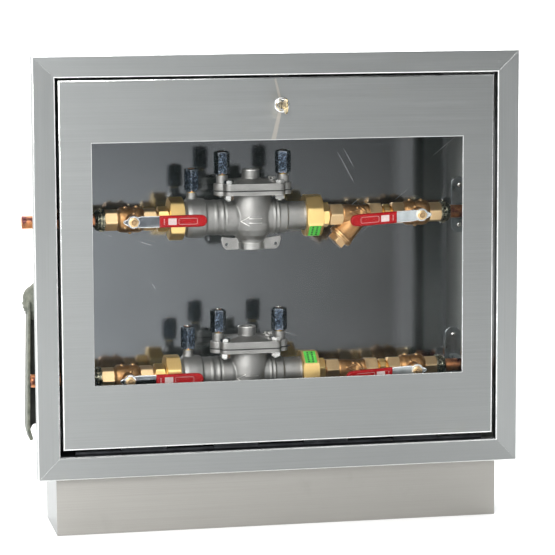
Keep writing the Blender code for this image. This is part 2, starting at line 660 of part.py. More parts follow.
def add_cover(line, origin):
    """Bolted cover: flange, raised dome, centre boss, bolt heads and two test-cock bosses."""
    cover = cover_plate(COVER_LOW, COVER_TOP)
    dome = upright(46.0 * MM, COVER_TOP - 0.4 * MM, 54.8 * MM, 0.0, 1.5 * MM, steps=4,
                   end_radius=21.0 * MM, phase=math.radians(45))
    boss = upright(12.9 * MM, COVER_TOP, 68.9 * MM, 0.0)
    cover = joined(cover, dome, boss)
    for place_x in TEST_COCKS:
        cover = joined(
            cover,
            upright(8.4 * MM, COVER_TOP - 2.0 * MM, 62.0 * MM, place_x, TEST_COCK_Y, steps=FINE_STEPS),
            upright(5.4 * MM, 61.0 * MM, 84.0 * MM, place_x, TEST_COCK_Y, steps=COARSE_STEPS),
        )
    for side in (-1, 1):
        for depth in BOLT_DEPTHS:
            cover = joined(cover, upright(7.3 * MM, COVER_TOP - 0.4 * MM, COVER_TOP + 5.2 * MM,
                                          side * BOLT_X, depth, steps=6))
    chamber = upright(CHAMBER_RADIUS, 30.0 * MM, 48.0 * MM, 0.0)
    socket = upright(8.0 * MM, 60.0 * MM, 80.0 * MM, 0.0)
    finish(cut(cover, chamber, socket), f"rpz_cover_{line}", "cast_grey", origin)


def add_test_caps(line, origin):
    """Three hexagonal caps, each turning on its test cock."""
    left_cock, right_cock = TEST_COCKS
    places = (("out", -91.0 * MM, 0.0, 38.2), ("mid", AXIS_X + left_cock, TEST_COCK_Y, 63.4),
              ("in", AXIS_X + right_cock, TEST_COCK_Y, 63.4))
    for name, x, y, low in places:
        base = Vector((x, y, low * MM))
        height = Vector((0.0, 0.0, 33.0 * MM))
        cap = hexagon(11.8 * MM, base, base + height, phase=math.radians(20))
        bore = rod(6.1 * MM, base - Vector((0.0, 0.0, 0.01)), base + Vector((0.0, 0.0, 24.0 * MM)))
        finish(cut(cap, bore), f"test_cap_{name}_{line}", "black_chrome", origin, base)


def add_checks(line, origin):
    """Two spring-closed check poppets that open towards the outlet (-X)."""
    for name, seat in (("in", 58.0), ("out", -62.0)):
        face = seat * MM - GAP
        disc = rod(12.6 * MM, (face, 0.0, 0.0), (face - 3.0 * MM, 0.0, 0.0))
        guide = rod(3.0 * MM, (face - 2.0 * MM, 0.0, 0.0), (face - 20.0 * MM, 0.0, 0.0),
                    steps=COARSE_STEPS)
        finish(joined(disc, guide), f"check_{name}_{line}", "inner_plastic", origin, (face, 0.0, 0.0))


def add_relief_valve(line, origin):
    """Relief valve element: seat disc, stem and diaphragm plate, standing open by its travel."""
    disc_low = RELIEF_SEAT + GAP + RELIEF_TRAVEL
    disc = upright(14.0 * MM, disc_low, disc_low + 3.0 * MM, 0.0)
    stem = upright(3.0 * MM, disc_low + 2.0 * MM, 42.0 * MM, 0.0, steps=COARSE_STEPS)
    top = upright(17.5 * MM, 41.4 * MM, 44.0 * MM, 0.0)
    finish(joined(disc, stem, top), f"relief_valve_{line}", "inner_plastic", origin)


# ---------------------------------------------------------------- unions, strainer, pipes

def add_union(line, end, origin):
    """Eight-sided union nut over the preventer's threaded end, and the tail that it holds."""
    if end == "out":
        side = -1
        tilt = 0.0
        rim, shoulder, thread = 104.4, 121.6, 24.0
        hex_start, hex_end, tail_end = 126.1, 141.3, 149.0
    else:
        side = 1
        tilt = math.radians(-9.5)
        rim, shoulder, thread = 73.0, 93.6, 21.4
        hex_start, hex_end, tail_end = 98.2, 108.8, 117.0

    def span(radius, near, far, steps=STEPS, end_radius=None, phase=0.0):
        return rod(radius * MM, (side * near * MM, 0.0, 0.0), (side * far * MM, 0.0, 0.0),
                   steps=steps, end_radius=None if end_radius is None else end_radius * MM, phase=phase)

    lip = 4.0
    thread_bore = clear(thread * MM, FINE_STEPS) / MM + 0.3
    nut = span(NUT_RADIUS / MM, rim, shoulder + lip, steps=8, phase=tilt)
    nut = cut(nut, span(thread_bore, rim - 5.0, shoulder, steps=FINE_STEPS),
              span(clear(15.0 * MM) / MM, rim, shoulder + 10.0))
    finish(nut, f"union_nut_{end}_{line}", "brass", origin)
    tail = span(thread, shoulder - 3.2, shoulder - 0.3)
    tail = joined(
        tail,
        span(15.0, shoulder - 1.0, hex_start + 1.0),
        span(18.7, hex_start, hex_end, steps=6, phase=math.radians(10)),
        span(12.4, hex_end - 1.0, tail_end),
    )
    tail = cut(tail, span(WATERWAY / MM, 60.0, 170.0))
    finish(tail, f"union_tail_{end}_{line}", "brass", origin)


def add_strainer(line, origin):
    """Y-strainer with its inlet nipple, and the cap that carries the screen."""
    def span(radius, near, far, steps=STEPS, end_radius=None, phase=0.0):
        return rod(radius * MM, (near * MM, 0.0, 0.0), (far * MM, 0.0, 0.0), steps=steps,
                   end_radius=None if end_radius is None else end_radius * MM, phase=phase)

    branch_start = Vector((160.0 * MM, 0.0, 0.0))
    branch_way = Vector((-1.0, 0.0, -1.0)).normalized()

    def branch(radius, near, far, steps=STEPS, end_radius=None, phase=0.0):
        return rod(radius * MM, branch_start + branch_way * near * MM,
                   branch_start + branch_way * far * MM, steps=steps,
                   end_radius=None if end_radius is None else end_radius * MM, phase=phase)

    body = joined(
        span(13.4, 127.0, 172.0),
        span(17.2, 110.0, 129.6, steps=6, phase=math.radians(25)),
        span(17.2, 168.7, 187.1, steps=6, phase=math.radians(25)),
        branch(14.2, 6.0, 44.0, end_radius=17.0),
        branch(18.4, 42.0, 48.0),
        span(10.8, 186.0, 203.4),
        span(14.2, 190.2, 199.4, steps=6, phase=math.radians(12)),
        span(12.4, 202.8, 211.0),
    )
    body = cut(
        body,
        span(WATERWAY / MM, 100.0, 240.0),
        span(12.8, 100.0, 120.0),
        branch(11.5, 14.0, 60.0),
    )
    finish(body, f"strainer_body_{line}", "bronze", origin)

    cap = branch(14.6, 48.3, 58.0, steps=6, phase=math.radians(15))
    cap = joined(cap, branch(11.1, 38.0, 49.0), branch(10.4, 17.0, 39.0))
    cap = cut(cap, branch(9.4, 10.0, 36.0))
    finish(cap, f"strainer_cap_{line}", "bronze", origin)


def add_pipes(line, line_x, origin, stub_end):
    """Copper tubes from the side-wall stubs into the valves."""
    for end, side, valve_x in (("out", -1, VALVE_OUT_X), ("in", 1, VALVE_IN_X)):
        outer_x = side * stub_end - line_x
        inner_x = valve_x + side * 22.6 * MM
        tube = rod(PIPE_RADIUS, (inner_x, 0.0, 0.0), (outer_x, 0.0, 0.0))
        bore = rod(PIPE_BORE, (inner_x - side * 0.01, 0.0, 0.0), (outer_x + side * 0.01, 0.0, 0.0))
        finish(cut(tube, bore), f"pipe_{end}_{line}", "copper", origin)


def add_line(line, line_x, pipe_y, pipe_z, stub_end):
    """One complete water line, drawn around the preventer's centre."""
    origin = (line_x, pipe_y, pipe_z)
    add_preventer_body(line, origin)
    add_cover(line, origin)
    add_test_caps(line, origin)
    add_checks(line, origin)
    add_relief_valve(line, origin)
    for end in ("out", "in"):
        add_union(line, end, origin)
    add_strainer(line, origin)
    add_valve(line, "out", VALVE_OUT_X, -1, origin)
    add_valve(line, "in", VALVE_IN_X, 1, origin)
    add_pipes(line, line_x, origin, stub_end)


# ---------------------------------------------------------------- build

def build():
    clear_scene()
    make_collection(COLLECTION)
    add_cabinet_shell()
    add_front_frame()
    add_door_panel()
    add_hinge_leaf()
    add_window()
    add_lock()
    add_side_drain()
    for line, line_x, pipe_y, pipe_z, stub_end in LINES:
        add_line(line, line_x, pipe_y, pipe_z, stub_end)
        clip_x = line_x + 327.0 * MM
        add_pipe_clip(f"pipe_clip_{line}", clip_x, pipe_y, pipe_z, -40.0 * MM, 44.0 * MM)


build()
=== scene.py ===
"""Looks of the twin-line backflow prevention cabinet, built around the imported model.

All lengths are metres in the model's own frame: +X right, +Y into the cabinet, +Z up. Only mm(),
oblong(), turned() and hexagon() take plain millimetres.
Each water line is drawn once around its preventer's centre and placed twice.
"""
import math

import bmesh
import bpy
from mathutils import Matrix, Vector, noise


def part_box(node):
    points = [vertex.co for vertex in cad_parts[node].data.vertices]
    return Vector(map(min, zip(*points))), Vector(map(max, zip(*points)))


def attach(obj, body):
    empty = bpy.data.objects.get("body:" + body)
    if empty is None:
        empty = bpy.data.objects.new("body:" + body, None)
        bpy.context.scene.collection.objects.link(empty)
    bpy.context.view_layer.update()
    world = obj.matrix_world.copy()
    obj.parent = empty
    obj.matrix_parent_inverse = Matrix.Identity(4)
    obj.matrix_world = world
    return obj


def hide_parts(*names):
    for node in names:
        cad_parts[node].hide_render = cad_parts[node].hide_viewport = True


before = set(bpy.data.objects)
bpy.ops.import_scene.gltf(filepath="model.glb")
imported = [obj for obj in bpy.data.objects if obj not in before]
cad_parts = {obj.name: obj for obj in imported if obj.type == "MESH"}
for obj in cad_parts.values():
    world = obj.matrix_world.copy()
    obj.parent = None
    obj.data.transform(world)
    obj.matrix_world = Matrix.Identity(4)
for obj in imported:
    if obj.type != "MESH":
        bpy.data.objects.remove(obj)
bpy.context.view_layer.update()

MM = 0.001
STEPS = 72
SHEET = 1.5 * MM
LINES = ("upper", "lower")
ALONG = (1.0, 0.0, 0.0)
INWARD = (0.0, 1.0, 0.0)
OUTWARD = (0.0, -1.0, 0.0)


# ---------------------------------------------------------------- shapes

def mm(*rows):
    """Rows of lengths in millimetres, given back in metres."""
    return [tuple(value * MM for value in row) for row in rows]


def oblong(left, low, right, high):
    """Outline of a rectangle between two corners, in millimetres."""
    return mm((left, low), (right, low), (right, high), (left, high))


def lathe(rings, steps=STEPS, closed=False):
    """Surface of revolution about Z from (radius, height) rings.

    Either value of a ring may be a function of the angle. A radius of zero is a pole, and
    `closed` joins the last ring to the first, for a shape with a bore through it.
    """
    shape = bmesh.new()
    rows = []
    for radius, height in rings:
        if radius == 0.0:
            rows.append([shape.verts.new((0.0, 0.0, height))] * steps)
            continue
        row = []
        for step in range(steps):
            angle = 2.0 * math.pi * step / steps
            reach = radius(angle) if callable(radius) else radius
            level = height(angle) if callable(height) else height
            row.append(shape.verts.new((reach * math.cos(angle), reach * math.sin(angle), level)))
        rows.append(row)
    pairs = list(zip(rows, rows[1:]))
    if closed:
        pairs.append((rows[-1], rows[0]))
    for first, second in pairs:
        for step in range(steps):
            after = (step + 1) % steps
            corners = []
            for vert in (first[step], first[after], second[after], second[step]):
                if vert not in corners:
                    corners.append(vert)
            if len(corners) > 2:
                shape.faces.new(corners)
    bmesh.ops.recalc_face_normals(shape, faces=shape.faces)
    return shape


def turned(*rings, steps=STEPS, closed=False):
    """Surface of revolution from plain rings in millimetres."""
    return lathe(mm(*rings), steps, closed)


def tube(radius, bore, low, high, rim=0.4 * MM):
    """Hollow cylinder with softly broken rims."""
    return lathe([(bore, low), (radius - rim, low), (radius, low + rim), (radius, high - rim),
        (radius - rim, high), (bore, high)], closed=True)


def hexagon(corner, low, high, bore=0.0, phase=0.0, flat=0.97, steps=STEPS, sides=6):
    """Prism of six or more sides with turned chamfers, solid or bored, its sizes in millimetres."""
    corner, low, high, bore = mm((corner, low, high, bore))[0]
    apothem = corner * math.cos(math.pi / sides)
    face_radius = apothem * flat
    wedge = 2.0 * math.pi / sides

    def reach(angle):
        return min(apothem / math.cos((angle - phase) % wedge - wedge / 2), corner * 0.988)

    def drop(angle):
        return (reach(angle) - face_radius) * 0.55

    rings = [(bore, low), (face_radius, low), (reach, lambda angle: low + drop(angle)),
        (reach, lambda angle: high - drop(angle)), (face_radius, high), (bore, high)]
    return lathe(rings, steps=steps, closed=bore > 0.0)


def carried(shape, matrix):
    """The shape put through a matrix."""
    bmesh.ops.transform(shape, matrix=matrix, verts=shape.verts)
    return shape


def aimed(shape, start, direction):
    """Turn a shape from +Z towards a direction and move its origin to the start."""
    turn = Vector(direction).to_track_quat("Z", "Y").to_matrix().to_4x4()
    return carried(shape, Matrix.Translation(Vector(start)) @ turn)


def spun(shape, angle):
    """Turn a shape about Z."""
    return carried(shape, Matrix.Rotation(angle, 4, "Z"))


def along_x(shape, x=0.0, side=1):
    """Turn a shape from +Z to the X axis, pointing to +X or -X."""
    turn = Matrix.Rotation(side * math.pi / 2, 4, "Y")
    return carried(shape, Matrix.Translation((x, 0.0, 0.0)) @ turn)


def moved(shape, x=0.0, y=0.0, z=0.0):
    return carried(shape, Matrix.Translation((x, y, z)))


def arc(centre_x, centre_y, radius, start, end, count=8):
    """Points along an arc, angles in degrees."""
    points = []
    for step in range(count + 1):
        angle = math.radians(start + (end - start) * step / count)
        points.append((centre_x + radius * math.cos(angle), centre_y + radius * math.sin(angle)))
    return points


def softened(outline, radius, count=5):
    """The outline with each corner rounded."""
    points = []
    for index, corner in enumerate(outline):
        corner = Vector(corner)
        before = Vector(outline[index - 1]) - corner
        after = Vector(outline[(index + 1) % len(outline)]) - corner
        reach = min(radius, before.length * 0.45, after.length * 0.45)
        start = corner + before.normalized() * reach
        end = corner + after.normalized() * reach
        for step in range(count + 1):
            share = step / count
            first = start.lerp(corner, share)
            points.append(tuple(first.lerp(corner.lerp(end, share), share)))
    return points


def slab(outline, low, high, bevel=0.0, segments=3):
    """Plate over an XY outline between two heights, with rounded rims."""
    shape = bmesh.new()
    face = shape.faces.new([shape.verts.new((x, y, low)) for x, y in outline])
    made = bmesh.ops.extrude_face_region(shape, geom=[face])
    top = [item for item in made["geom"] if isinstance(item, bmesh.types.BMVert)]
    bmesh.ops.translate(shape, vec=(0.0, 0.0, high - low), verts=top)
    bmesh.ops.recalc_face_normals(shape, faces=shape.faces)
    if bevel:
        rims = [edge for edge in shape.edges if abs(edge.verts[0].co.z - edge.verts[1].co.z) < 0.000001]
        bmesh.ops.bevel(shape, geom=rims, offset=bevel, segments=segments, profile=0.5, affect="EDGES",
            clamp_overlap=True)
    return shape


def facing(outline, y, thickness, bevel=0.0):
    """Plate over an XZ outline, centred on a depth, with its face towards the front."""
    shape = slab(outline, -thickness / 2, thickness / 2, bevel)
    turn = Matrix.Rotation(math.pi / 2, 4, "X")
    return carried(shape, Matrix.Translation((0.0, y, 0.0)) @ turn)


def edging(outline, y, width, thickness):
    """Thin strip that runs along the inside of an XZ outline, as one short block per side."""
    middle = sum((Vector(point) for point in outline), Vector((0.0, 0.0))) / len(outline)
    shapes = []
    for first, second in zip(outline, outline[1:] + outline[:1]):
        first = Vector(first)
        second = Vector(second)
        along = second - first
        if along.length < 0.0001:
            continue
        inward = Vector((-along.y, along.x)).normalized() * width
        if inward.dot(middle - first) < 0.0:
            inward = -inward
        strip = [tuple(first), tuple(second), tuple(second + inward), tuple(first + inward)]
        shapes.append(facing(strip, y, thickness, 0.0))
    return shapes


def block(low, high, bevel=0.3 * MM, segments=2):
    """Box between two corners with every edge rounded."""
    low = Vector(low)
    high = Vector(high)
    shape = bmesh.new()
    bmesh.ops.create_cube(shape, size=1.0)
    bmesh.ops.scale(shape, vec=high - low, verts=shape.verts)
    bmesh.ops.translate(shape, vec=(low + high) / 2, verts=shape.verts)
    bmesh.ops.bevel(shape, geom=shape.edges[:], offset=bevel, segments=segments, profile=0.5,
        affect="EDGES", clamp_overlap=True)
    return shape


def globe(radius, centre, rings=24, steps=48):
    shape = bmesh.new()
    bmesh.ops.create_uvsphere(shape, u_segments=steps, v_segments=rings, radius=radius)
    return moved(shape, *centre)


def rect_loft(loops, highlight_bands, shaded):
    """Closed skin through rectangles (x half, low z, high z, y), with mitred corners.

    Faces of the top and bottom strips keep material 0 and the side strips take material 1.
    Bands after the loops numbered in `highlight_bands` take a bright steel, material 3, as a painted
    highlight on the folds, and those in
    `shaded` take a dark steel, material 4, as painted shade on faces turned into a gap.
    """
    shape = bmesh.new()
    rows = []
    for half, low, high, y in loops:
        corners = ((-half, low), (half, low), (half, high), (-half, high))
        rows.append([shape.verts.new((x, y, z)) for x, z in corners])
    for index, row in enumerate(rows):
        other = rows[(index + 1) % len(rows)]
        for side in range(4):
            after = (side + 1) % 4
            face = shape.faces.new((row[side], row[after], other[after], other[side]))
            face.material_index = 3 if index in highlight_bands else 4 if index in shaded else side % 2
    bmesh.ops.recalc_face_normals(shape, faces=shape.faces)
    return shape


def refined(node, width, segments=2):
    """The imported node's own shape, with flat faces merged and every edge rounded."""
    shape = bmesh.new()
    shape.from_mesh(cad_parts[node].data)
    bmesh.ops.remove_doubles(shape, verts=shape.verts, dist=0.00001)
    bmesh.ops.dissolve_limit(shape, angle_limit=math.radians(1), verts=shape.verts, edges=shape.edges)
    sharp = [edge for edge in shape.edges
             if len(edge.link_faces) == 2 and edge.calc_face_angle() > math.radians(30)]
    bmesh.ops.bevel(shape, geom=sharp, offset=width, segments=segments, profile=0.5, affect="EDGES",
        clamp_overlap=True)
    return shape


def roughened(shape, amount, size):
    """Push the surface in and out a little, as a sand casting does."""
    shape.normal_update()
    for vert in shape.verts:
        vert.co += vert.normal * noise.noise(vert.co / size) * amount
    return shape


def mesh_of(shape, name):
    """Mesh data from a working shape, which is used up."""
    mesh = bpy.data.meshes.new(name)
    shape.to_mesh(mesh)
    shape.free()
    return mesh


def join(total, shape):
    """Add a shape to another, using it up."""
    mesh = mesh_of(shape, "part")
    total.from_mesh(mesh)
    bpy.data.meshes.remove(mesh)


def in_scene(name, data):
    made = bpy.data.objects.new(name, data)
    bpy.context.scene.collection.objects.link(made)
    return made


def temporary(shape):
    return in_scene("temporary", mesh_of(shape, "temporary"))


def cast(shapes, voxel, smoothing, cutters=()):
    """Melt closed shapes into one skin with soft fillets, then cut the machined bores.

    With a voxel size of zero the shapes are only cut.
    """
    total = bmesh.new()
    for shape in shapes:
        join(total, shape)
    made = temporary(total)
    if voxel:
        remesh = made.modifiers.new("Remesh", "REMESH")
        remesh.mode = "VOXEL"
        remesh.voxel_size = voxel
        soften = made.modifiers.new("Smooth", "SMOOTH")
        soften.factor = 0.5
        soften.iterations = smoothing
    tools = [temporary(cutter) for cutter in cutters]
    for tool in tools:
        boolean = made.modifiers.new("Cut", "BOOLEAN")
        boolean.operation = "DIFFERENCE"
        boolean.solver = "EXACT"
        boolean.object = tool
    bpy.context.view_layer.update()
    graph = bpy.context.evaluated_depsgraph_get()
    mesh = bpy.data.meshes.new_from_object(made.evaluated_get(graph))
    result = bmesh.new()
    result.from_mesh(mesh)
    bpy.data.meshes.remove(mesh)
    for old in [made] + tools:
        bpy.data.objects.remove(old, do_unlink=True)
    return result


class Piece:
    """One visible piece, collected from closed shapes that may differ in material."""

    def __init__(self, name, slot, *materials):
        self.name = name
        self.slot = slot
        self.materials = materials
        self.shape = bmesh.new()

    def add(self, shape, material=None):
        for face in shape.faces:
            face.smooth = True
            if material is not None:
                face.material_index = material
        join(self.shape, shape)
        return self

    def mesh(self, sharp=32.0):
        made = mesh_of(self.shape, self.name)
        for material in self.materials:
            made.materials.append(material)
        made.set_sharp_from_angle(angle=math.radians(sharp))
        return made

    def place(self, body, *nodes, sharp=32.0):
        """Put the piece in the scene as drawn, riding on a body and standing for nodes."""
        return placed(self.mesh(sharp), self.name, self.slot, body, nodes)

    def place_on_lines(self, body, *nodes, sharp=32.0):
        """Put one copy on each water line; {} in a body or node name is the line's name."""
        mesh = self.mesh(sharp)
        for line in LINES:
            placed(mesh, f"{self.name}_{line}", self.slot, body.format(line),
                [node.format(line) for node in nodes], line_origin(line))


def placed(mesh, name, slot, body, nodes, origin=(0.0, 0.0, 0.0)):
    """Put a mesh in the scene on its body, with flat faces that stay flat in the shading."""
    made = in_scene(name, mesh)
    made.location = origin
    flats = made.modifiers.new("flat_faces", "WEIGHTED_NORMAL")
    flats.keep_sharp = True
    flats.weight = 80
    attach(made, body)
    if nodes:
        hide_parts(*nodes)
    return made


OUT_COCK_X = -91 * MM


def middle_of(node):
    """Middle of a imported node's box."""
    low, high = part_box(node)
    return (low + high) / 2


def line_origin(line):
    """Centre of a line's preventer, on the pipe axis."""
    pipe = middle_of(f"pipe_in_{line}")
    return Vector((middle_of(f"test_cap_out_{line}").x - OUT_COCK_X, pipe.y, pipe.z))


# ---------------------------------------------------------------- materials

# Slope and curve of the back wall's sheet up its height, and the lean and reach of the door's stain.
WALL_LEAN = 0.115
WALL_BOW = 0.072
STAIN_LEAN = -0.24
STAIN_REACH = 50 * MM


class Nodes:
    """Short calls that add shader nodes to one tree."""

    def __init__(self, tree):
        self.tree = tree

    def node(self, kind, values=None, **settings):
        made = self.tree.nodes.new(kind)
        for key, value in settings.items():
            setattr(made, key, value)
        for key, value in (values or {}).items():
            self.feed(made.inputs[key], value)
        return made

    def feed(self, socket, value):
        if isinstance(value, bpy.types.NodeSocket):
            self.tree.links.new(value, socket)
        else:
            socket.default_value = value

    def band(self, value, low, high, out_low=0.0, out_high=1.0):
        """Map a value from one range to another, held at the ends."""
        made = self.node("ShaderNodeMapRange", {"Value": value, "From Min": low, "From Max": high,
            "To Min": out_low, "To Max": out_high})
        return made.outputs["Result"]

    def math(self, operation, first, second=0.0):
        made = self.node("ShaderNodeMath", operation=operation)
        self.feed(made.inputs[0], first)
        self.feed(made.inputs[1], second)
        return made.outputs["Value"]

    def mix(self, first, second, share):
        made = self.node("ShaderNodeMix", data_type="RGBA")
        colors = [socket for socket in made.inputs if socket.type == "RGBA"]
        for socket, value in zip(colors, (first, second)):
            self.feed(socket, (*value, 1.0) if isinstance(value, tuple) else value)
        self.feed(made.inputs["Factor"], share)
        return [socket for socket in made.outputs if socket.type == "RGBA"][0]


class Graph(Nodes):
    """A Principled material with its object coordinates, noise and bump."""

    def __init__(self, name):
        self.material = bpy.data.materials.new(name)
        self.material.use_nodes = True
        super().__init__(self.material.node_tree)
        self.shader = self.tree.nodes["Principled BSDF"]
        self.coordinates = self.node("ShaderNodeTexCoord").outputs["Object"]

    def set(self, **values):
        for key, value in values.items():
            name = key.replace("_", " ")
            if isinstance(value, tuple) and len(value) == 3:
                value = (*value, 1.0)
            self.feed(self.shader.inputs[name], value)
        return self

    def place(self, stretch=(1.0, 1.0, 1.0), turn=(0.0, 0.0, 0.0)):
        turned = self.node("ShaderNodeMapping", {"Vector": self.coordinates, "Rotation": turn})
        made = self.node("ShaderNodeMapping", {"Vector": turned.outputs["Vector"], "Scale": stretch})
        return made.outputs["Vector"]

    def noise(self, scale, detail=3.0, stretch=(1.0, 1.0, 1.0), turn=(0.0, 0.0, 0.0), rough=0.55):
        made = self.node("ShaderNodeTexNoise", {"Vector": self.place(stretch, turn), "Scale": scale,
            "Detail": detail, "Roughness": rough})
        return made.outputs["Fac"]

    def position(self, axis):
        made = self.node("ShaderNodeSeparateXYZ", {"Vector": self.coordinates})
        return made.outputs[axis]

    def direction(self, vector):
        made = self.node("ShaderNodeCombineXYZ", dict(zip("XYZ", vector)))
        return made.outputs["Vector"]

    def bump(self, height, distance, strength=1.0):
        made = self.node("ShaderNodeBump", {"Height": height, "Distance": distance,
            "Strength": strength})
        self.feed(self.shader.inputs["Normal"], made.outputs["Normal"])
        return self


def brushed(name, stretch, across, light=(0.310, 0.320, 0.317), dark=(0.272, 0.282, 0.279),
            gloss=(0.34, 0.44), stain=None):
    """Stainless sheet with a directional grain, faint clouds and handling marks.

    The highlight spreads along `across`, the direction at right angles to the grain.
    `stain` is a point (x, z) that a pale dried run passes through, wider below it than above.
    """
    graph = Graph(name)
    grain = graph.noise(1.0, 4.0, stretch, rough=0.65)
    clouds = graph.noise(5.0, 3.0)
    marks = graph.band(graph.noise(22.0, 5.0, turn=(0.3, 0.5, 0.2)), 0.62, 0.74)
    tone = graph.mix(dark, light, graph.band(grain, 0.30, 0.70))
    tone = graph.mix(tone, dark, graph.band(clouds, 0.45, 0.75, 0.0, 0.5))
    tone = graph.mix(tone, (0.30, 0.30, 0.27), graph.math("MULTIPLY", marks, 0.25))
    if stain:
        height = graph.math("SUBTRACT", graph.position("Z"), stain[1])
        rise = graph.math("ABSOLUTE", height)
        offset = graph.math("SUBTRACT", graph.position("X"), stain[0])
        away = graph.math("ABSOLUTE", graph.math("SUBTRACT", offset,
            graph.math("MULTIPLY", rise, STAIN_LEAN)))
        width = graph.band(height, 0.05, -0.06, 0.0012, 0.0042)
        share = graph.band(graph.math("DIVIDE", away, width), 0.6, 1.1, 0.45, 0.0)
        near = graph.band(rise, STAIN_REACH, STAIN_REACH + 0.006, 1.0, 0.0)
        tone = graph.mix(tone, (0.56, 0.50, 0.43), graph.math("MULTIPLY", share, near))
    graph.set(Base_Color=tone, Metallic=1.0, Roughness=graph.band(grain, 0.3, 0.7, *gloss),
        Anisotropic=0.6, Tangent=graph.direction(across))
    graph.bump(grain, 0.00002, 0.5)
    return graph.material


def mill_finish_and_painted_light(name):
    """Inside of the box: glossy cold-rolled back wall that bows slightly, duller folded sides. Its tone
    holds painted shade, darker to the right and near the top, and painted light, a paler strip at the
    far right and paler sides and top.
    """
    graph = Graph(name)
    haze = graph.noise(7.0, 4.0)
    fine = graph.noise(1.0, 3.0, (30.0, 30.0, 700.0))
    normal = graph.node("ShaderNodeNewGeometry").outputs["Normal"]
    parts = graph.node("ShaderNodeSeparateXYZ", {"Vector": normal})
    turned = graph.math("MAXIMUM", graph.math("ABSOLUTE", parts.outputs["Z"]),
        graph.math("ABSOLUTE", parts.outputs["X"]))
    upright = graph.band(turned, 0.3, 0.7)
    height = graph.position("Z")
    tone = graph.mix((0.34, 0.36, 0.38), (0.42, 0.44, 0.46), haze)
    # Painted shade: the tone darkens from left to right across the inside.
    across = graph.band(graph.position("X"), -0.25, 0.28)
    tone = graph.mix(tone, (0.17, 0.16, 0.145), graph.math("MULTIPLY", across, 0.55))
    # Painted shade: the tone darkens towards the top, under the cabinet's roof.
    tone = graph.mix(tone, (0.13, 0.135, 0.145), graph.band(height, 0.40, 0.58, 0.0, 0.62))
    # Painted light: a paler strip at the far right of the wall.
    tone = graph.mix(tone, (0.46, 0.47, 0.48), graph.band(graph.position("X"), 0.195, 0.215))
    # Painted light: the sides and top are paler as well as rougher.
    tone = graph.mix(tone, (0.50, 0.50, 0.48), upright)
    scratches = 0.0
    for turn, size in ((0.5, 9.0), (-0.9, 7.0), (1.25, 11.0)):
        streak = graph.noise(1.0, 1.0, (420.0, 420.0, 9.0), (0.0, turn, 0.0), rough=0.3)
        gate = graph.noise(size, 1.0, turn=(0.4, turn, 0.0))
        line = graph.math("MULTIPLY", graph.band(streak, 0.73, 0.78), graph.band(gate, 0.60, 0.68))
        scratches = graph.math("MAXIMUM", scratches, line)
    tone = graph.mix(tone, (0.55, 0.57, 0.57), graph.math("MULTIPLY", scratches, 0.2))
    rough = graph.math("ADD", graph.band(haze, 0.3, 0.7, 0.09, 0.13),
        graph.math("MULTIPLY", upright, 0.35))
    graph.set(Base_Color=tone, Metallic=1.0, Roughness=graph.math("ADD", rough,
        graph.math("MULTIPLY", scratches, 0.3)))
    squared = graph.math("MULTIPLY", height, height)
    bow = graph.math("SUBTRACT", graph.math("MULTIPLY", squared, WALL_BOW),
        graph.math("MULTIPLY", height, WALL_LEAN))
    graph.bump(graph.math("ADD", bow, graph.math("MULTIPLY", fine, 0.000003)), 1.0)
    return graph.material


def metal(name, light, dark, gloss, mottle=40.0, grain=900.0, depth=0.00003, stretch=(1.0, 1.0, 1.0),
          edge_wear_and_glint=None, metallic=1.0, spread=(0.35, 0.65), cloud_stretch=(1.0, 1.0, 1.0), shine=0.5):
    """Metal or lacquer with mottled tone, a fine surface grain and paler edges: wear, and on the black
    chrome caps a painted highlight.
    """
    graph = Graph(name)
    cloud = graph.noise(mottle, 4.0, cloud_stretch)
    fine = graph.noise(grain, 3.0, stretch, rough=0.6)
    tone = graph.mix(dark, light, graph.band(cloud, *spread))
    tone = graph.mix(tone, dark, graph.band(fine, 0.5, 0.8, 0.0, 0.25))
    if edge_wear_and_glint:
        # Paler edges by pointiness: wear on most metals, a painted highlight on the black chrome caps.
        edge = graph.node("ShaderNodeNewGeometry").outputs["Pointiness"]
        tone = graph.mix(tone, edge_wear_and_glint, graph.band(edge, 0.52, 0.60, 0.0, 0.8))
    graph.set(Base_Color=tone, Metallic=metallic, Roughness=graph.band(cloud, 0.3, 0.7, *gloss),
        Specular_IOR_Level=shine)
    graph.bump(fine, depth)
    return graph.material


def glass(name):
    """Clear pane: nearly nothing face on, more gloss at a glancing angle."""
    graph = Graph(name)
    facing_share = graph.node("ShaderNodeLayerWeight", {"Blend": 0.25}).outputs["Facing"]
    dust = graph.noise(60.0, 4.0)
    alpha = graph.band(facing_share, 0.1, 1.0, 0.02, 0.5)
    alpha = graph.math("ADD", alpha, graph.band(dust, 0.55, 0.8, 0.0, 0.01))
    graph.set(Base_Color=(0.10, 0.13, 0.12), Roughness=graph.band(dust, 0.3, 0.7, 0.02, 0.06),
        Alpha=alpha)
    return graph.material


def plastic(name, light, dark, gloss, mottle=60.0, grain=500.0, depth=0.00005, shine=0.5):
    return metal(name, light, dark, gloss, mottle, grain, depth, metallic=0.0, shine=shine)


LOCK_X, _, LOCK_Z = middle_of("lock_body")
STEEL_ACROSS = brushed("stainless_across", (6.0, 500.0, 1100.0), (0.0, 0.0, 1.0))
STEEL_DOOR = brushed("stainless_door", (6.0, 500.0, 1100.0), (0.0, 0.0, 1.0), stain=(LOCK_X, LOCK_Z))
STEEL_UP = brushed("stainless_up", (1100.0, 500.0, 6.0), (1.0, 0.0, 0.0))
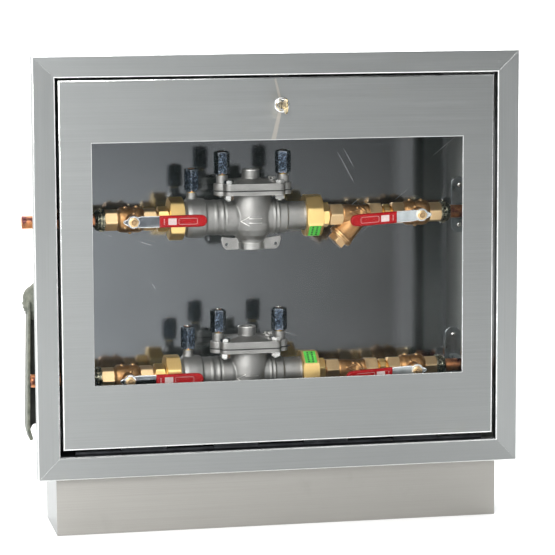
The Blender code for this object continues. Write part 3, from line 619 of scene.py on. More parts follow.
# A lighter, warmer copy of the brushed steel for the plinth: painted light.
STEEL_PLINTH = brushed("stainless_plinth", (6.0, 500.0, 1100.0), (0.0, 0.0, 1.0), (0.41, 0.40, 0.375),
    (0.36, 0.35, 0.325), (0.38, 0.5))
STEEL_INSIDE = mill_finish_and_painted_light("stainless_inside")
GLASS = glass("window_glass")
RUBBER = plastic("seal_rubber", (0.035, 0.035, 0.035), (0.015, 0.015, 0.015), (0.5, 0.7))
CHROME = metal("lock_chrome", (0.82, 0.82, 0.80), (0.66, 0.66, 0.65), (0.06, 0.14), depth=0.000005)
# Pale glossy steel for the folds, weld beads and the lever's edge strip: painted highlight.
FOLD_HIGHLIGHT_STEEL = metal("fold_steel_painted_highlight", (0.86, 0.87, 0.86), (0.70, 0.71, 0.70), (0.16, 0.26), 50.0, 1200.0,
    0.00001)
# Dark steel for the faces turned into the gaps: painted shade.
RETURN_STEEL_SHADE = metal("return_steel_painted_shade", (0.12, 0.123, 0.125), (0.08, 0.082, 0.084), (0.36, 0.50))
# Near-black steel for the hinge that sits in the bottom gap: painted shade.
HINGE_STEEL_SHADE = metal("hinge_steel", (0.035, 0.037, 0.04), (0.015, 0.016, 0.018), (0.40, 0.55))
KEY_BRASS = metal("key_brass", (0.70, 0.54, 0.26), (0.40, 0.30, 0.14), (0.20, 0.35),
    edge_wear_and_glint=(0.88, 0.76, 0.50))
ZINC = metal("zinc_plate", (0.56, 0.60, 0.61), (0.42, 0.46, 0.47), (0.32, 0.46), 70.0, depth=0.00002,
    edge_wear_and_glint=(0.86, 0.88, 0.88))
DARK_ZINC = metal("dark_zinc", (0.20, 0.22, 0.23), (0.12, 0.135, 0.14), (0.26, 0.40), 90.0,
    depth=0.00002, edge_wear_and_glint=(0.42, 0.45, 0.46))
MIRROR_ZINC = metal("polished_zinc", (0.10, 0.11, 0.125), (0.04, 0.045, 0.055), (0.05, 0.10), 60.0,
    depth=0.000004, edge_wear_and_glint=(0.92, 0.94, 0.94))
BRIGHT = metal("bright_bolt", (0.58, 0.58, 0.56), (0.36, 0.36, 0.345), (0.12, 0.25), depth=0.00001)
CAST_GREY = metal("cast_grey", (0.315, 0.312, 0.30), (0.245, 0.242, 0.232), (0.48, 0.60), 30.0, 1400.0,
    0.00012, edge_wear_and_glint=(0.66, 0.65, 0.62))
MACHINED = metal("machined_steel", (0.48, 0.475, 0.455), (0.35, 0.35, 0.335), (0.28, 0.40), 50.0,
    1200.0, 0.00003, edge_wear_and_glint=(0.84, 0.83, 0.80))
CAST_BRONZE = metal("cast_bronze", (0.42, 0.235, 0.10), (0.26, 0.14, 0.055), (0.40, 0.54), 45.0, 1100.0,
    0.00012, edge_wear_and_glint=(0.86, 0.60, 0.32))
TURNED_BRONZE = metal("turned_bronze", (0.42, 0.24, 0.10), (0.32, 0.175, 0.07), (0.32, 0.44), 60.0,
    depth=0.00002, edge_wear_and_glint=(0.92, 0.70, 0.40))
DARK_BRONZE = metal("dark_bronze", (0.20, 0.115, 0.052), (0.10, 0.055, 0.025), (0.28, 0.42), 60.0,
    depth=0.00003, edge_wear_and_glint=(0.70, 0.48, 0.26))
BRASS = metal("yellow_brass", (0.80, 0.46, 0.125), (0.66, 0.35, 0.08), (0.34, 0.46), 35.0,
    depth=0.00002, stretch=(1.0, 0.05, 0.05), edge_wear_and_glint=(0.98, 0.78, 0.36))
GLAND = metal("blackened_gland", (0.15, 0.15, 0.11), (0.04, 0.05, 0.04), (0.20, 0.36), 260.0,
    edge_wear_and_glint=(0.46, 0.42, 0.30))
# Black chrome whose pale blue speckles and pale edges are painted highlights.
BLACK_CHROME = metal("black_chrome", (0.17, 0.215, 0.28), (0.008, 0.013, 0.022), (0.16, 0.30), 800.0,
    1500.0, 0.0002, edge_wear_and_glint=(0.70, 0.75, 0.80), spread=(0.50, 0.64), cloud_stretch=(1.0, 1.0, 0.55))
COPPER = metal("dull_copper", (0.78, 0.33, 0.14), (0.16, 0.06, 0.06), (0.24, 0.40), 55.0, depth=0.00002,
    spread=(0.42, 0.60))
RED_VINYL = plastic("red_vinyl", (0.34, 0.004, 0.007), (0.24, 0.002, 0.004), (0.34, 0.46), 50.0, 700.0,
    0.00003, shine=0.15)
WHITE_PAINT = plastic("white_paint", (0.50, 0.42, 0.41), (0.38, 0.27, 0.26), (0.4, 0.5))
LABEL = plastic("green_label", (0.10, 0.52, 0.07), (0.05, 0.38, 0.04), (0.35, 0.5), 90.0)
LABEL_INK = plastic("label_ink", (0.015, 0.06, 0.02), (0.01, 0.03, 0.015), (0.4, 0.5))
# Black for the gasket, and for the key and screw slots, where it is painted shade.
GASKET_AND_SLOT_SHADE = plastic("black_gasket_and_slot_shade", (0.02, 0.02, 0.02), (0.01, 0.01, 0.01), (0.4, 0.6))
DRAIN = plastic("drain_plastic", (0.16, 0.165, 0.13), (0.055, 0.065, 0.048), (0.5, 0.7), 90.0, 300.0,
    0.0002)
# Near-black plastic for the channel's web, which lies in shadow: painted shade.
DRAIN_WEB_SHADE = plastic("drain_web_painted_shade", (0.045, 0.05, 0.04), (0.02, 0.022, 0.018), (0.45, 0.65), 60.0, 300.0,
    0.0001)
INNER = plastic("inner_acetal", (0.74, 0.73, 0.68), (0.62, 0.61, 0.56), (0.35, 0.5))


# ---------------------------------------------------------------- cabinet

frame_low, frame_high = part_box("front_frame")
door_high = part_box("door_panel")[1]
pane_low, pane_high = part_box("window_pane")
FRONT = frame_low.y
OPENING_HALF = frame_high.x - 32 * MM
OPENING_LOW = frame_low.z + 32.9 * MM
OPENING_HIGH = frame_high.z - 31.2 * MM
DOOR_FACE = FRONT + 3.8 * MM
DOOR_DEPTH = 13 * MM
DOOR_HALF = door_high.x
DOOR_BOTTOM = OPENING_LOW + 8.2 * MM
DOOR_TOP = door_high.z
PLINTH_TOP = 110 * MM
PANE_LAP = 12 * MM
WINDOW_HALF = pane_high.x - PANE_LAP
WINDOW_LOW = pane_low.z + PANE_LAP
WINDOW_HIGH = pane_high.z - PANE_LAP


def folded_border(outside, opening, face, depth, fold, lip):
    """Cross-section of a border from its back edge, round the outer fold, to its opening's fold.

    `outside` and `opening` are (x half, low z, high z). Also gives back the two functions that
    place a loop a distance in from the outside, or out from the opening.
    """
    def outer(inward, back):
        return (outside[0] - inward, outside[1] + inward, outside[2] - inward, face + back)

    def inner(outward, back):
        return (opening[0] + outward, opening[1] - outward, opening[2] + outward, face + back)

    loops = [outer(SHEET * 0.7, depth), outer(0.0, depth - 0.4 * MM)]
    loops += [outer(x, y) for x, y in arc(fold, fold, fold, 180, 270, 4)]
    loops += [inner(x, y) for x, y in reversed(arc(lip, lip, lip, 180, 270, 4))]
    return loops, outer, inner


def add_front_frame():
    """Mitred border with rounded folds, welded mitres, a rebate return and the lock's keeper."""
    fold = 2.4 * MM
    lip = 1.8 * MM
    back = 19.4 * MM
    rebate = 12 * MM
    half = frame_high.x
    loops, outer, inner = folded_border((half, frame_low.z, frame_high.z),
        (OPENING_HALF, OPENING_LOW, OPENING_HIGH), FRONT, back, fold, lip)
    loops += [inner(0.0, rebate), inner(SHEET, rebate), inner(SHEET, SHEET), outer(SHEET, SHEET),
        outer(SHEET, back)]
    piece = Piece("front_frame_fine", "stainless", STEEL_ACROSS, STEEL_UP, HINGE_STEEL_SHADE, FOLD_HIGHLIGHT_STEEL,
        RETURN_STEEL_SHADE)
    # The fold bands take the bright steel as a painted highlight, and the rebate return takes the dark
    # steel as painted shade.
    outer_fold = (3, 4)
    inner_fold = (7, 8, 9)
    rebate_bands = (10, 11, 12)
    piece.add(rect_loft(loops, outer_fold + inner_fold, rebate_bands))
    keeper_left = LOCK_X - 14 * MM
    keeper_end = (LOCK_X + 14 * MM, frame_high.y, OPENING_HIGH + SHEET)
    piece.add(block((keeper_left, FRONT + rebate - 1 * MM, OPENING_HIGH), keeper_end), 0)
    piece.add(block((keeper_left, frame_high.y - SHEET, OPENING_HIGH - 9 * MM), keeper_end), 0)
    # The weld beads take the bright fold steel: painted highlight.
    weld = 0.5 * MM
    for side_x in (-1, 1):
        for outer_z, inner_z in ((frame_low.z, OPENING_LOW), (frame_high.z, OPENING_HIGH)):
            start = Vector((side_x * (half - fold), FRONT,
                outer_z + math.copysign(fold, inner_z - outer_z)))
            end = Vector((side_x * (OPENING_HALF + lip), FRONT,
                inner_z - math.copysign(lip, inner_z - outer_z)))
            length = (end - start).length
            bead = lathe([(0.0, 0.0), (weld, 1 * MM), (weld, length - 1 * MM), (0.0, length)],
                steps=12)
            bmesh.ops.scale(bead, vec=(1.0, 0.35, 1.0), verts=bead.verts)
            piece.add(aimed(bead, start, end - start), 3)
    piece.place("cabinet", "front_frame")


def add_shell():
    """Folded box, with its low front panel in a lighter, warmer copy of the brushed steel: painted
    light.
    """
    shape = refined("cabinet_shell", 0.45 * MM)
    centres = [face.calc_center_median() for face in shape.faces]
    plinth_front = min(centre.y for centre in centres if centre.z < PLINTH_TOP / 2)
    middle = middle_of("cabinet_shell")
    for face in shape.faces:
        centre = face.calc_center_median()
        outside = face.normal.dot(centre - middle) > 0.0
        low_front = centre.y < plinth_front + 2.5 * MM and centre.z < PLINTH_TOP
        face.material_index = 1 if low_front else 2 if outside else 0
    piece = Piece("cabinet_shell_fine", "stainless", STEEL_INSIDE, STEEL_PLINTH, STEEL_UP)
    piece.add(shape)
    piece.place("cabinet", "cabinet_shell")


def add_door():
    """Folded door skin with softly bent edges, the window opening and its hinge knuckles."""
    loops, outer, inner = folded_border((DOOR_HALF, DOOR_BOTTOM, DOOR_TOP),
        (WINDOW_HALF, WINDOW_LOW, WINDOW_HIGH), DOOR_FACE, DOOR_DEPTH, 2.6 * MM, 0.8 * MM)
    loops += [inner(0.0, SHEET - 0.2 * MM), inner(0.2 * MM, SHEET), outer(SHEET, SHEET),
        outer(SHEET, DOOR_DEPTH)]
    hole = aimed(turned((0, 0), (9.3, 0), (9.3, 20), (0, 20), steps=64),
        (LOCK_X, DOOR_FACE - 10 * MM, LOCK_Z), INWARD)
    piece = Piece("door_panel_fine", "stainless", STEEL_DOOR, STEEL_DOOR, HINGE_STEEL_SHADE, FOLD_HIGHLIGHT_STEEL,
        RETURN_STEEL_SHADE)
    # The fold bands take the bright steel as a painted highlight, and the outer returns take the dark
    # steel as painted shade.
    outer_fold = (3, 4, 5)
    inner_fold = (7, 8, 9, 10)
    return_bands = (0, 1, 2)
    skin = rect_loft(loops, outer_fold + inner_fold, return_bands)
    piece.add(cast([skin], 0.0, 0, [hole]))
    for left, right in knuckle_spans()[1::2]:
        add_knuckle(piece, left, right, DOOR_BOTTOM + 1 * MM)
    piece.place("door", "door_panel")


HINGE_Y = FRONT + 5 * MM
HINGE_Z = OPENING_LOW + 4 * MM
KNUCKLES = 9


def knuckle_spans():
    """Start and end of each hinge knuckle along X, left to right."""
    leaf_low, leaf_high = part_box("hinge_leaf")
    pitch = (leaf_high.x - leaf_low.x) / KNUCKLES
    gap = 0.3 * MM
    starts = [leaf_low.x + index * pitch for index in range(KNUCKLES)]
    return [(start + gap, start + pitch - gap) for start in starts]


def add_knuckle(piece, left, right, web_end):
    """Rolled knuckle with its web to the leaf above or below it."""
    length = right - left
    roll = tube(2.6 * MM, 1.35 * MM, 0.0, length, 0.25 * MM)
    piece.add(aimed(roll, (left, HINGE_Y, HINGE_Z), ALONG), 2)
    low, high = sorted((web_end, HINGE_Z + math.copysign(1.6 * MM, web_end - HINGE_Z)))
    piece.add(block((left, HINGE_Y - 0.8 * MM, low), (right, HINGE_Y + 0.8 * MM, high), 0.15 * MM), 2)


def add_hinge():
    """Frame leaf with its knuckles, and the pin with domed ends."""
    leaf_low, leaf_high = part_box("hinge_leaf")
    leaf_top = HINGE_Z - 2.9 * MM
    piece = Piece("hinge_leaf_fine", "hinge_steel", HINGE_STEEL_SHADE, HINGE_STEEL_SHADE, HINGE_STEEL_SHADE)
    piece.add(block((leaf_low.x, HINGE_Y - 2 * MM, leaf_low.z), (leaf_high.x, leaf_high.y, leaf_top),
        0.1 * MM))
    for left, right in knuckle_spans()[0::2]:
        add_knuckle(piece, left, right, leaf_top - 0.2 * MM)
    length = leaf_high.x - leaf_low.x
    pin = lathe([(0.0, 0.0), (1 * MM, 0.1 * MM), (1.3 * MM, 0.5 * MM), (1.3 * MM, length - 0.5 * MM),
        (1 * MM, length - 0.1 * MM), (0.0, length)], steps=24)
    piece.add(aimed(pin, (leaf_low.x, HINGE_Y, HINGE_Z), ALONG))
    piece.place("cabinet", "hinge_leaf")


def add_window():
    """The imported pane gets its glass, and the seal behind it rounded edges."""
    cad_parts["window_pane"].data.materials.clear()
    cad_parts["window_pane"].data.materials.append(GLASS)
    piece = Piece("window_retainer_fine", "black_rubber", RUBBER)
    piece.add(refined("window_retainer", 0.5 * MM, 3), 0)
    piece.place("door", "window_retainer")


def add_lock():
    """Chrome cam lock with its nut behind the door, the cam and the key."""
    low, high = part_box("lock_body")
    x, z = LOCK_X, LOCK_Z
    face = low.y
    length = high.y - face
    body = Piece("lock_body_fine", "chrome", CHROME, ZINC)
    bezel = [(6.4 * MM, 1.4 * MM), (7.2 * MM, 0.7 * MM), (8.3 * MM, 0.1 * MM), (9.4 * MM, 0.1 * MM),
        (10.5 * MM, 0.7 * MM), (11.2 * MM, 1.9 * MM), (11.3 * MM, 3.6 * MM), (9 * MM, 3.7 * MM),
        (9 * MM, length - 0.4 * MM), (8.6 * MM, length), (6.4 * MM, length)]
    body.add(aimed(lathe(bezel, closed=True), (x, face, z), INWARD), 0)
    nut = hexagon(13.5, 0, 4, 9.1)
    body.add(aimed(nut, (x, DOOR_FACE + SHEET + 0.2 * MM, z), INWARD), 1)
    body.place("door", "lock_body")

    plug = Piece("lock_plug_fine", "chrome", CHROME, GASKET_AND_SLOT_SHADE, ZINC)
    plug_low, plug_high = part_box("lock_plug")
    reach = plug_high.y - plug_low.y
    core = lathe([(0.0, 0.6 * MM), (4.2 * MM, 0.5 * MM), (4.8 * MM, 0.0), (5.6 * MM, 0.0),
        (6 * MM, 0.5 * MM), (6 * MM, reach - 0.5 * MM), (5.5 * MM, reach), (0.0, reach)])
    plug.add(aimed(core, (x, plug_low.y, z), INWARD), 0)
    # A black block round the key: the keyway, painted shade.
    plug.add(block((x - 1.5 * MM, plug_low.y - 0.15 * MM, z - 4.4 * MM),
        (x + 1.5 * MM, plug_low.y + 2 * MM, z + 4.4 * MM), 0.1 * MM), 1)
    cam = softened(mm((-7, -7), (30, -7), (42, -6), (42, 6), (30, 7), (-7, 7)), 5 * MM)
    plug.add(moved(facing(cam, 0.0, 2 * MM, 0.4 * MM), x, plug_high.y - 1 * MM, z), 2)
    plug.add(aimed(hexagon(5.6, 0, 2.6), (x, plug_high.y - 0.1 * MM, z), INWARD), 2)
    plug.place("lock", "lock_plug")

    key_low, key_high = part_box("key")
    key = Piece("key_fine", "key_brass", KEY_BRASS)
    bow_y = key_low.y + 11 * MM
    outline = arc(bow_y, 0.0, 11 * MM, 28, 332, 40)
    blade_end = key_high.y
    outline += [(bow_y + 18 * MM, -5 * MM), (bow_y + 19 * MM, -4 * MM)]
    for index, cut in enumerate((1.0, 1.8, 0.8, 1.6, 1.2, 0.6)):
        start = bow_y + (24 + 4.2 * index) * MM
        depth = cut * MM
        outline += [(start, -4 * MM), (start + 1.4 * MM, -4 * MM + depth),
            (start + 2.4 * MM, -4 * MM + depth), (start + 3.6 * MM, -4 * MM)]
    outline += [(blade_end - 3 * MM, -4 * MM), (blade_end, 0.0), (blade_end - 3 * MM, 4 * MM),
        (bow_y + 19 * MM, 4 * MM), (bow_y + 18 * MM, 5 * MM)]
    blank = slab(outline, -1 * MM, 1 * MM, 0.3 * MM, 2)
    carried(blank, Matrix(((0, 0, 1, x), (1, 0, 0, 0), (0, 1, 0, z), (0, 0, 0, 1))))
    bmesh.ops.recalc_face_normals(blank, faces=blank.faces)
    eye = aimed(turned((0, 0), (2.6, 0), (2.6, 6), (0, 6), steps=32), (x - 3 * MM, bow_y - 5.5 * MM, z),
        ALONG)
    key.add(cast([blank], 0.0, 0, [eye]), 0)
    key.place("lock", "key")


def add_pipe_clip(line):
    """Oblong wall plate with screws, a standoff arm and the pipe ring."""
    low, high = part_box(f"pipe_clip_{line}")
    _, pipe_y, pipe_z = middle_of(f"pipe_in_{line}")
    x = (low.x + high.x) / 2
    wall = high.y
    half = 12 * MM
    piece = Piece(f"pipe_clip_fine_{line}", "zinc", DARK_ZINC, BRIGHT, GASKET_AND_SLOT_SHADE)
    outline = arc(x, high.z - half, half, 0, 180, 16) + arc(x, low.z + half, half, 180, 360, 16)
    piece.add(facing(outline, wall - 1 * MM, 2 * MM, 0.4 * MM), 0)
    piece.add(block((x - 6 * MM, pipe_y + 10 * MM, pipe_z - 2.5 * MM),
        (x + 6 * MM, wall - 1 * MM, pipe_z + 2.5 * MM), 0.6 * MM), 0)
    piece.add(moved(along_x(tube(12.5 * MM, 9.7 * MM, -6 * MM, 6 * MM, 0.5 * MM)), x, pipe_y, pipe_z),
        0)
    for height in (low.z + half, high.z - half):
        dome = turned((0, 2.6), (1.6, 2.5), (3.2, 1.9), (4.2, 0.6), (4.3, 0), (0, 0), steps=40)
        piece.add(aimed(dome, (x, wall - 2 * MM, height), OUTWARD), 1)
        for turn in (0, 90):
            # Black bars across the screw heads: the slots, painted shade.
            slot = block((-2.4 * MM, -0.4 * MM, 2.2 * MM), (2.4 * MM, 0.4 * MM, 2.8 * MM), 0.05 * MM)
            piece.add(aimed(spun(slot, math.radians(turn + 20)), (x, wall - 2 * MM, height), OUTWARD),
                2)
    piece.place("cabinet", f"pipe_clip_{line}")


def add_drain():
    """Moulded drip channel: pleated hood, rounded outer wall and a near-black web, its darkness painted
    shade.
    """
    low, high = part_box("side_drain_channel")
    piece = Piece("side_drain_fine", "drain_plastic", DRAIN, DRAIN_WEB_SHADE)
    wall = high.x
    web_back = high.y
    hood_centre = Vector((-336 * MM, web_back - 19 * MM, high.z - 28 * MM))
    hood = globe(1.0, (0.0, 0.0, 0.0), rings=96, steps=64)
    for vert in hood.verts:
        pleat = math.cos(math.atan2(vert.co.z + 0.9, vert.co.x + 1.6) * 34.0)
        vert.co *= 1.0 + 0.035 * pleat * (1.0 - abs(vert.co.y)) - 0.02
        vert.co.x *= 23 * MM
        vert.co.y *= 19 * MM
        vert.co.z *= 28 * MM
        vert.co += hood_centre
        vert.co.x = min(vert.co.x, wall)
    piece.add(hood, 0)
    top = hood_centre.z - 6 * MM
    outer_top = -352 * MM
    outer_low = low.x + 2.5 * MM
    tip = low.z
    wall_outline = softened([(outer_top, top + 8 * MM), (outer_low, tip + 16 * MM),
        (outer_low + 4 * MM, tip), (outer_low + 9 * MM, tip + 2 * MM),
        (outer_low + 4.5 * MM, tip + 18 * MM), (outer_top + 3.5 * MM, top + 8 * MM)], 4 * MM)
    piece.add(facing(wall_outline, web_back - 19 * MM, 38 * MM, 1.2 * MM), 0)
    web_outline = softened([(wall, tip + 20 * MM), (wall, top), (outer_top, top),
        (outer_low, tip + 18 * MM), (outer_low + 5 * MM, tip + 4 * MM),
        (outer_low + 12 * MM, tip + 18 * MM)], 3 * MM)
    # The web takes the near-black plastic: painted shade.
    piece.add(facing(web_outline, web_back - 1.25 * MM, 2.5 * MM, 0.5 * MM), 1)
    piece.place("cabinet", "side_drain_channel")


# ---------------------------------------------------------------- water lines

VALVE_OUT_X = -180.5 * MM
VALVE_IN_X = 239.5 * MM
AXIS_X = -4.7 * MM
LEVER_Y = -37.2 * MM


def add_valve(end, centre_x, side):
    """Ball valve body with its gland nut, cast lumps, stem gland and end hexagons."""
    node = f"valve_{end}_body_{{}}"
    piece = Piece(f"valve_{end}_body", "bronze", CAST_BRONZE, TURNED_BRONZE, GLAND, BRASS)

    def placed_x(shape):
        return along_x(shape, centre_x, side)

    middle = turned((9, -20), (14.3, -20), (15, -18.5), (17.2, -15.5), (18.1, -11), (18.4, -5),
        (17.7, -2.6), (18, 0), (18.5, 5), (18.3, 11), (17.4, 15.5), (15, 18.5), (14.3, 20), (13.7, 20),
        (13.7, -14), (9, -14.2), steps=96, closed=True)
    for _ in range(2):
        long_edges = [edge for edge in middle.edges if edge.calc_length() > 2.2 * MM]
        bmesh.ops.subdivide_edges(middle, edges=long_edges, cuts=1, use_grid_fill=True)
    piece.add(placed_x(roughened(middle, 0.35 * MM, 5 * MM)), 0)
    piece.add(placed_x(hexagon(15.8, 18.5, 37, 9.8, math.radians(18))), 1)
    piece.add(placed_x(hexagon(16.8, -37, -18.5, 13, math.radians(18))), 1)
    collar = turned((9.8, 37), (15.8, 37), (16.4, 37.8), (16.3, 39.2), (15.4, 39.8), (15.3, 40.4),
        (15.9, 41), (15.7, 43.5), (14.6, 44.2), (15.1, 45.2), (14.9, 47.4), (13.2, 49.8), (11.4, 51),
        (9.8, 51), closed=True)
    piece.add(placed_x(collar), 2)
    for index in range(14):
        angle = 2.0 * math.pi * index / 14
        tooth = block((-1.3 * MM, -0.9 * MM, 40.6 * MM), (1.3 * MM, 0.9 * MM, 44.2 * MM), 0.4 * MM)
        piece.add(placed_x(spun(moved(tooth, 15.3 * MM), angle)), 2)
    boss = turned((4.3, 12), (10.5, 12), (9.6, 18), (8.6, 20), (8.5, 27), (8, 28), (4.3, 28),
        closed=True)
    piece.add(aimed(boss, (centre_x, 0.0, 0.0), OUTWARD), 0)
    packing = hexagon(8, 27.6, 34, 4.3)
    piece.add(aimed(packing, (centre_x, 0.0, 0.0), OUTWARD), 3)
    lumps = ((-9.0, 0.0, 17.2, 3.4), (7.5, -3.0, 17.4, 3.0), (12.0, 4.0, 15.8, 2.6),
        (-4.0, -15.0, 9.5, 2.6), (9.0, -14.5, -10.0, 2.8), (-11.0, -13.0, -11.5, 2.4),
        (0.0, 2.0, -17.6, 3.2))
    for x, y, z, size in lumps:
        piece.add(globe(size * MM, (centre_x + side * x * MM, y * MM, z * MM), 10, 16), 0)
    piece.place_on_lines("cabinet", node)

    ball = Piece(f"valve_{end}_ball", "chrome", CHROME, DARK_BRONZE)
    sphere = arc(0.0, 0.0, 13 * MM, -48, 48, 16)
    core = lathe(mm((8.6, -9.75)) + sphere + mm((8.6, 9.75)), 64, closed=True)
    ball.add(placed_x(core), 0)
    stem = turned((0, 11), (3.9, 11), (3.9, 44), (3.2, 45), (0, 45), steps=32)
    ball.add(aimed(stem, (centre_x, 0.0, 0.0), OUTWARD), 1)
    ball.place_on_lines(f"lever_{end}_{{}}", f"valve_{end}_ball_{{}}")
    add_lever(end, centre_x, -side)


def add_lever(end, centre_x, direction):
    """Pressed strap with a ribbed eye, brass nut, dipped grip and its blank printed panel."""
    droop = 0.06 if direction < 0 else 0.0
    body = f"lever_{end}_{{}}"

    def shaped(points):
        return [(centre_x + direction * x, z - droop * max(x, 0.0)) for x, z in points]

    def flat(points, y, thickness, bevel):
        return facing(shaped(points), LEVER_Y + y, thickness, bevel)

    eye = arc(0.0, 0.0, 9.4 * MM, 50, 150, 10) + mm((-14.5, 2.2), (-14.5, -1.4))
    eye += arc(0.0, 0.0, 9.2 * MM, 215, 310, 10)
    outline = mm((96, -6), (96, 6), (38, 8), (12, 8.2)) + eye
    outline += mm((12, -8.2), (38, -8))
    strap = Piece(f"valve_{end}_lever", "zinc", MIRROR_ZINC if end == "out" else ZINC, TURNED_BRONZE,
        DARK_BRONZE, FOLD_HIGHLIGHT_STEEL)
    strap.add(flat(outline, 0.0, 2.4 * MM, 0.5 * MM), 0)
    strap.add(aimed(turned((5, 0), (8.9, 0), (9.1, 0.6), (8.4, 1.3), (5, 1.3), closed=True),
        (centre_x, LEVER_Y - 1.1 * MM, 0.0), OUTWARD), 0)
    nut = hexagon(7.4, 2.2, 6, 3.4, math.radians(12), 0.93)
    strap.add(aimed(nut, (centre_x, LEVER_Y, 0.0), OUTWARD), 1)
    stem_end = turned((0, 5.6), (1.3, 5.6), (1.5, 6.6), (2.6, 6.7), (3.2, 6.2), (3.3, 2), (0, 2),
        steps=32)
    strap.add(aimed(stem_end, (centre_x, LEVER_Y, 0.0), OUTWARD), 2)
    # A thin strip of the bright fold steel along the strap's edge: painted highlight.
    for shape in edging(shaped(outline), LEVER_Y - 1.3 * MM, 1.1 * MM, 0.5 * MM):
        strap.add(shape, 3)
    strap.place_on_lines(body, f"valve_{end}_lever_{{}}")

    tip = arc(97 * MM, 0.0, 8.4 * MM, 75, -75, 14)
    grip_outline = mm((37, 8.4), (90, 8.7)) + tip + mm((90, -8.7), (37, -8.4))
    if direction < 0:
        grip_outline = list(reversed(grip_outline))
    grip = Piece(f"valve_{end}_grip", "red_vinyl", RED_VINYL)
    grip.add(facing(shaped(grip_outline), LEVER_Y, 8 * MM, 2.6 * MM), 0)
    grip.place_on_lines(body, f"valve_{end}_grip_{{}}", sharp=50.0)

    print_y = -4.03 * MM
    mark = Piece(f"valve_{end}_grip_print", "red_vinyl", WHITE_PAINT)
    panel = softened(oblong(49, -4.6, 61, 4.6), 0.8 * MM)
    mark.add(flat(panel, print_y, 0.12 * MM, 0.0), 0)
    box_line = softened(oblong(64, -4.4, 91, 4.4), 2.4 * MM)
    for shape in edging(shaped(box_line), LEVER_Y + print_y, 0.4 * MM, 0.12 * MM):
        mark.add(shape, 0)
    for z in (-3.2, -1.1, 1.1, 3.2):
        mark.add(flat(oblong(42.6, z - 0.5, 44, z + 0.5), print_y, 0.12 * MM, 0.0), 0)
    mark.place_on_lines(body)


NUT_CORNER = 31.4
NUT_TURNS = {"out_upper": 6.5, "out_lower": 23.0, "in_upper": -21.5, "in_lower": -28.0}


def add_union(end):
    """Eight-sided union nuts with turned chamfers, each at its own turn, and the tail they hold."""
    if end == "out":
        side, rim, shoulder, thread = -1, 104.4, 125.6, 24.0
        hex_start, hex_end, tail_end = 126.1, 141.3, 149.0
    else:
        side, rim, shoulder, thread = 1, 73.0, 97.6, 21.4
        hex_start, hex_end, tail_end = 98.2, 108.8, 117.0
    for line in LINES:
        nut = Piece(f"union_nut_{end}_fine_{line}", "brass", BRASS)
        phase = math.radians(NUT_TURNS[f"{end}_{line}"])
        shape = hexagon(NUT_CORNER, rim, shoulder, thread + 0.6, phase, 0.985, 96, 8)
        nut.add(along_x(shape, 0.0, side), 0)
        lip = turned((15.4, shoulder - 3.6), (thread + 1.0, shoulder - 3.6),
            (thread + 1.0, shoulder - 0.3), (15.4, shoulder - 0.3), closed=True)
        nut.add(along_x(lip, 0.0, side), 0)
        placed(nut.mesh(), nut.name, nut.slot, "cabinet", [f"union_nut_{end}_{line}"],
            line_origin(line))
    tail = Piece(f"union_tail_{end}", "brass", TURNED_BRONZE, BRASS)
    barrel = turned((9, shoulder - 7.0), (thread - 1.0, shoulder - 7.0), (thread - 1.0, shoulder - 4.4),
        (14.9, shoulder - 4.2), (14.9, hex_start), (12, hex_start + 1), (12, hex_end),
        (12.3, hex_end + 0.6), (12.3, tail_end - 1), (11.4, tail_end), (9, tail_end), closed=True)
    tail.add(along_x(barrel, 0.0, side), 0)
    hexed = hexagon(18.7, hex_start, hex_end, 11.5, math.radians(10))
    tail.add(along_x(hexed, 0.0, side), 1)
    tail.place_on_lines("cabinet", f"union_tail_{end}_{{}}")


def add_label(line, facet):
    """Blank green sticker with a plain dashed band, on one facet of the inlet union nut."""
    apothem = NUT_CORNER * MM * math.cos(math.pi / 8)
    angle = math.radians(facet)
    out = Vector((0.0, -math.cos(angle), math.sin(angle)))
    up = Vector((0.0, math.sin(angle), math.cos(angle)))
    origin = line_origin(line)
    across = Vector((1.0, 0.0, 0.0))
    place = Matrix((across, up, out)).transposed().to_4x4()
    place.translation = origin + out * (apothem + 0.02 * MM) + across * 85 * MM
    piece = Piece(f"inlet_label_{line}", "brass", LABEL, LABEL_INK)
    outline = softened(oblong(-8.6, -11.2, 8.6, 11.2), 1.2 * MM)
    piece.add(carried(slab(outline, 0.0, 0.12 * MM), place), 0)
    for column in (-3.2, 3.2):
        for row in range(5):
            z = (row - 2) * 4.2
            square = oblong(column - 1.4, z - 1.4, column + 1.4, z + 1.4)
            dash = slab(square, 0.12 * MM, 0.16 * MM)
            piece.add(carried(dash, place), 1)
    piece.place("cabinet")


# ---------------------------------------------------------------- preventer

COCK_OFFSET = 44.6 * MM
COCK_Y = -14.4 * MM
BOLT_OFFSET = 36.9 * MM
BOLT_DEPTHS = (-28 * MM, 31 * MM)
CHAMBER = 19 * MM


def rod(radius, start, end, end_radius=None, steps=32):
    """Round bar or cone between two points, with flat ends."""
    start = Vector(start)
    reach = Vector(end) - start
    far = radius if end_radius is None else end_radius
    return aimed(lathe([(0.0, 0.0), (radius, 0.0), (far, reach.length), (0.0, reach.length)], steps),
        start, reach)


def beads(points, radius):
    """Raised weld-like line through points: rounded bars with a ball at every joint."""
    shapes = [globe(radius, point, rings=8, steps=12) for point in points]
    shapes += [rod(radius, first, second, steps=12) for first, second in zip(points, points[1:])]
    return shapes


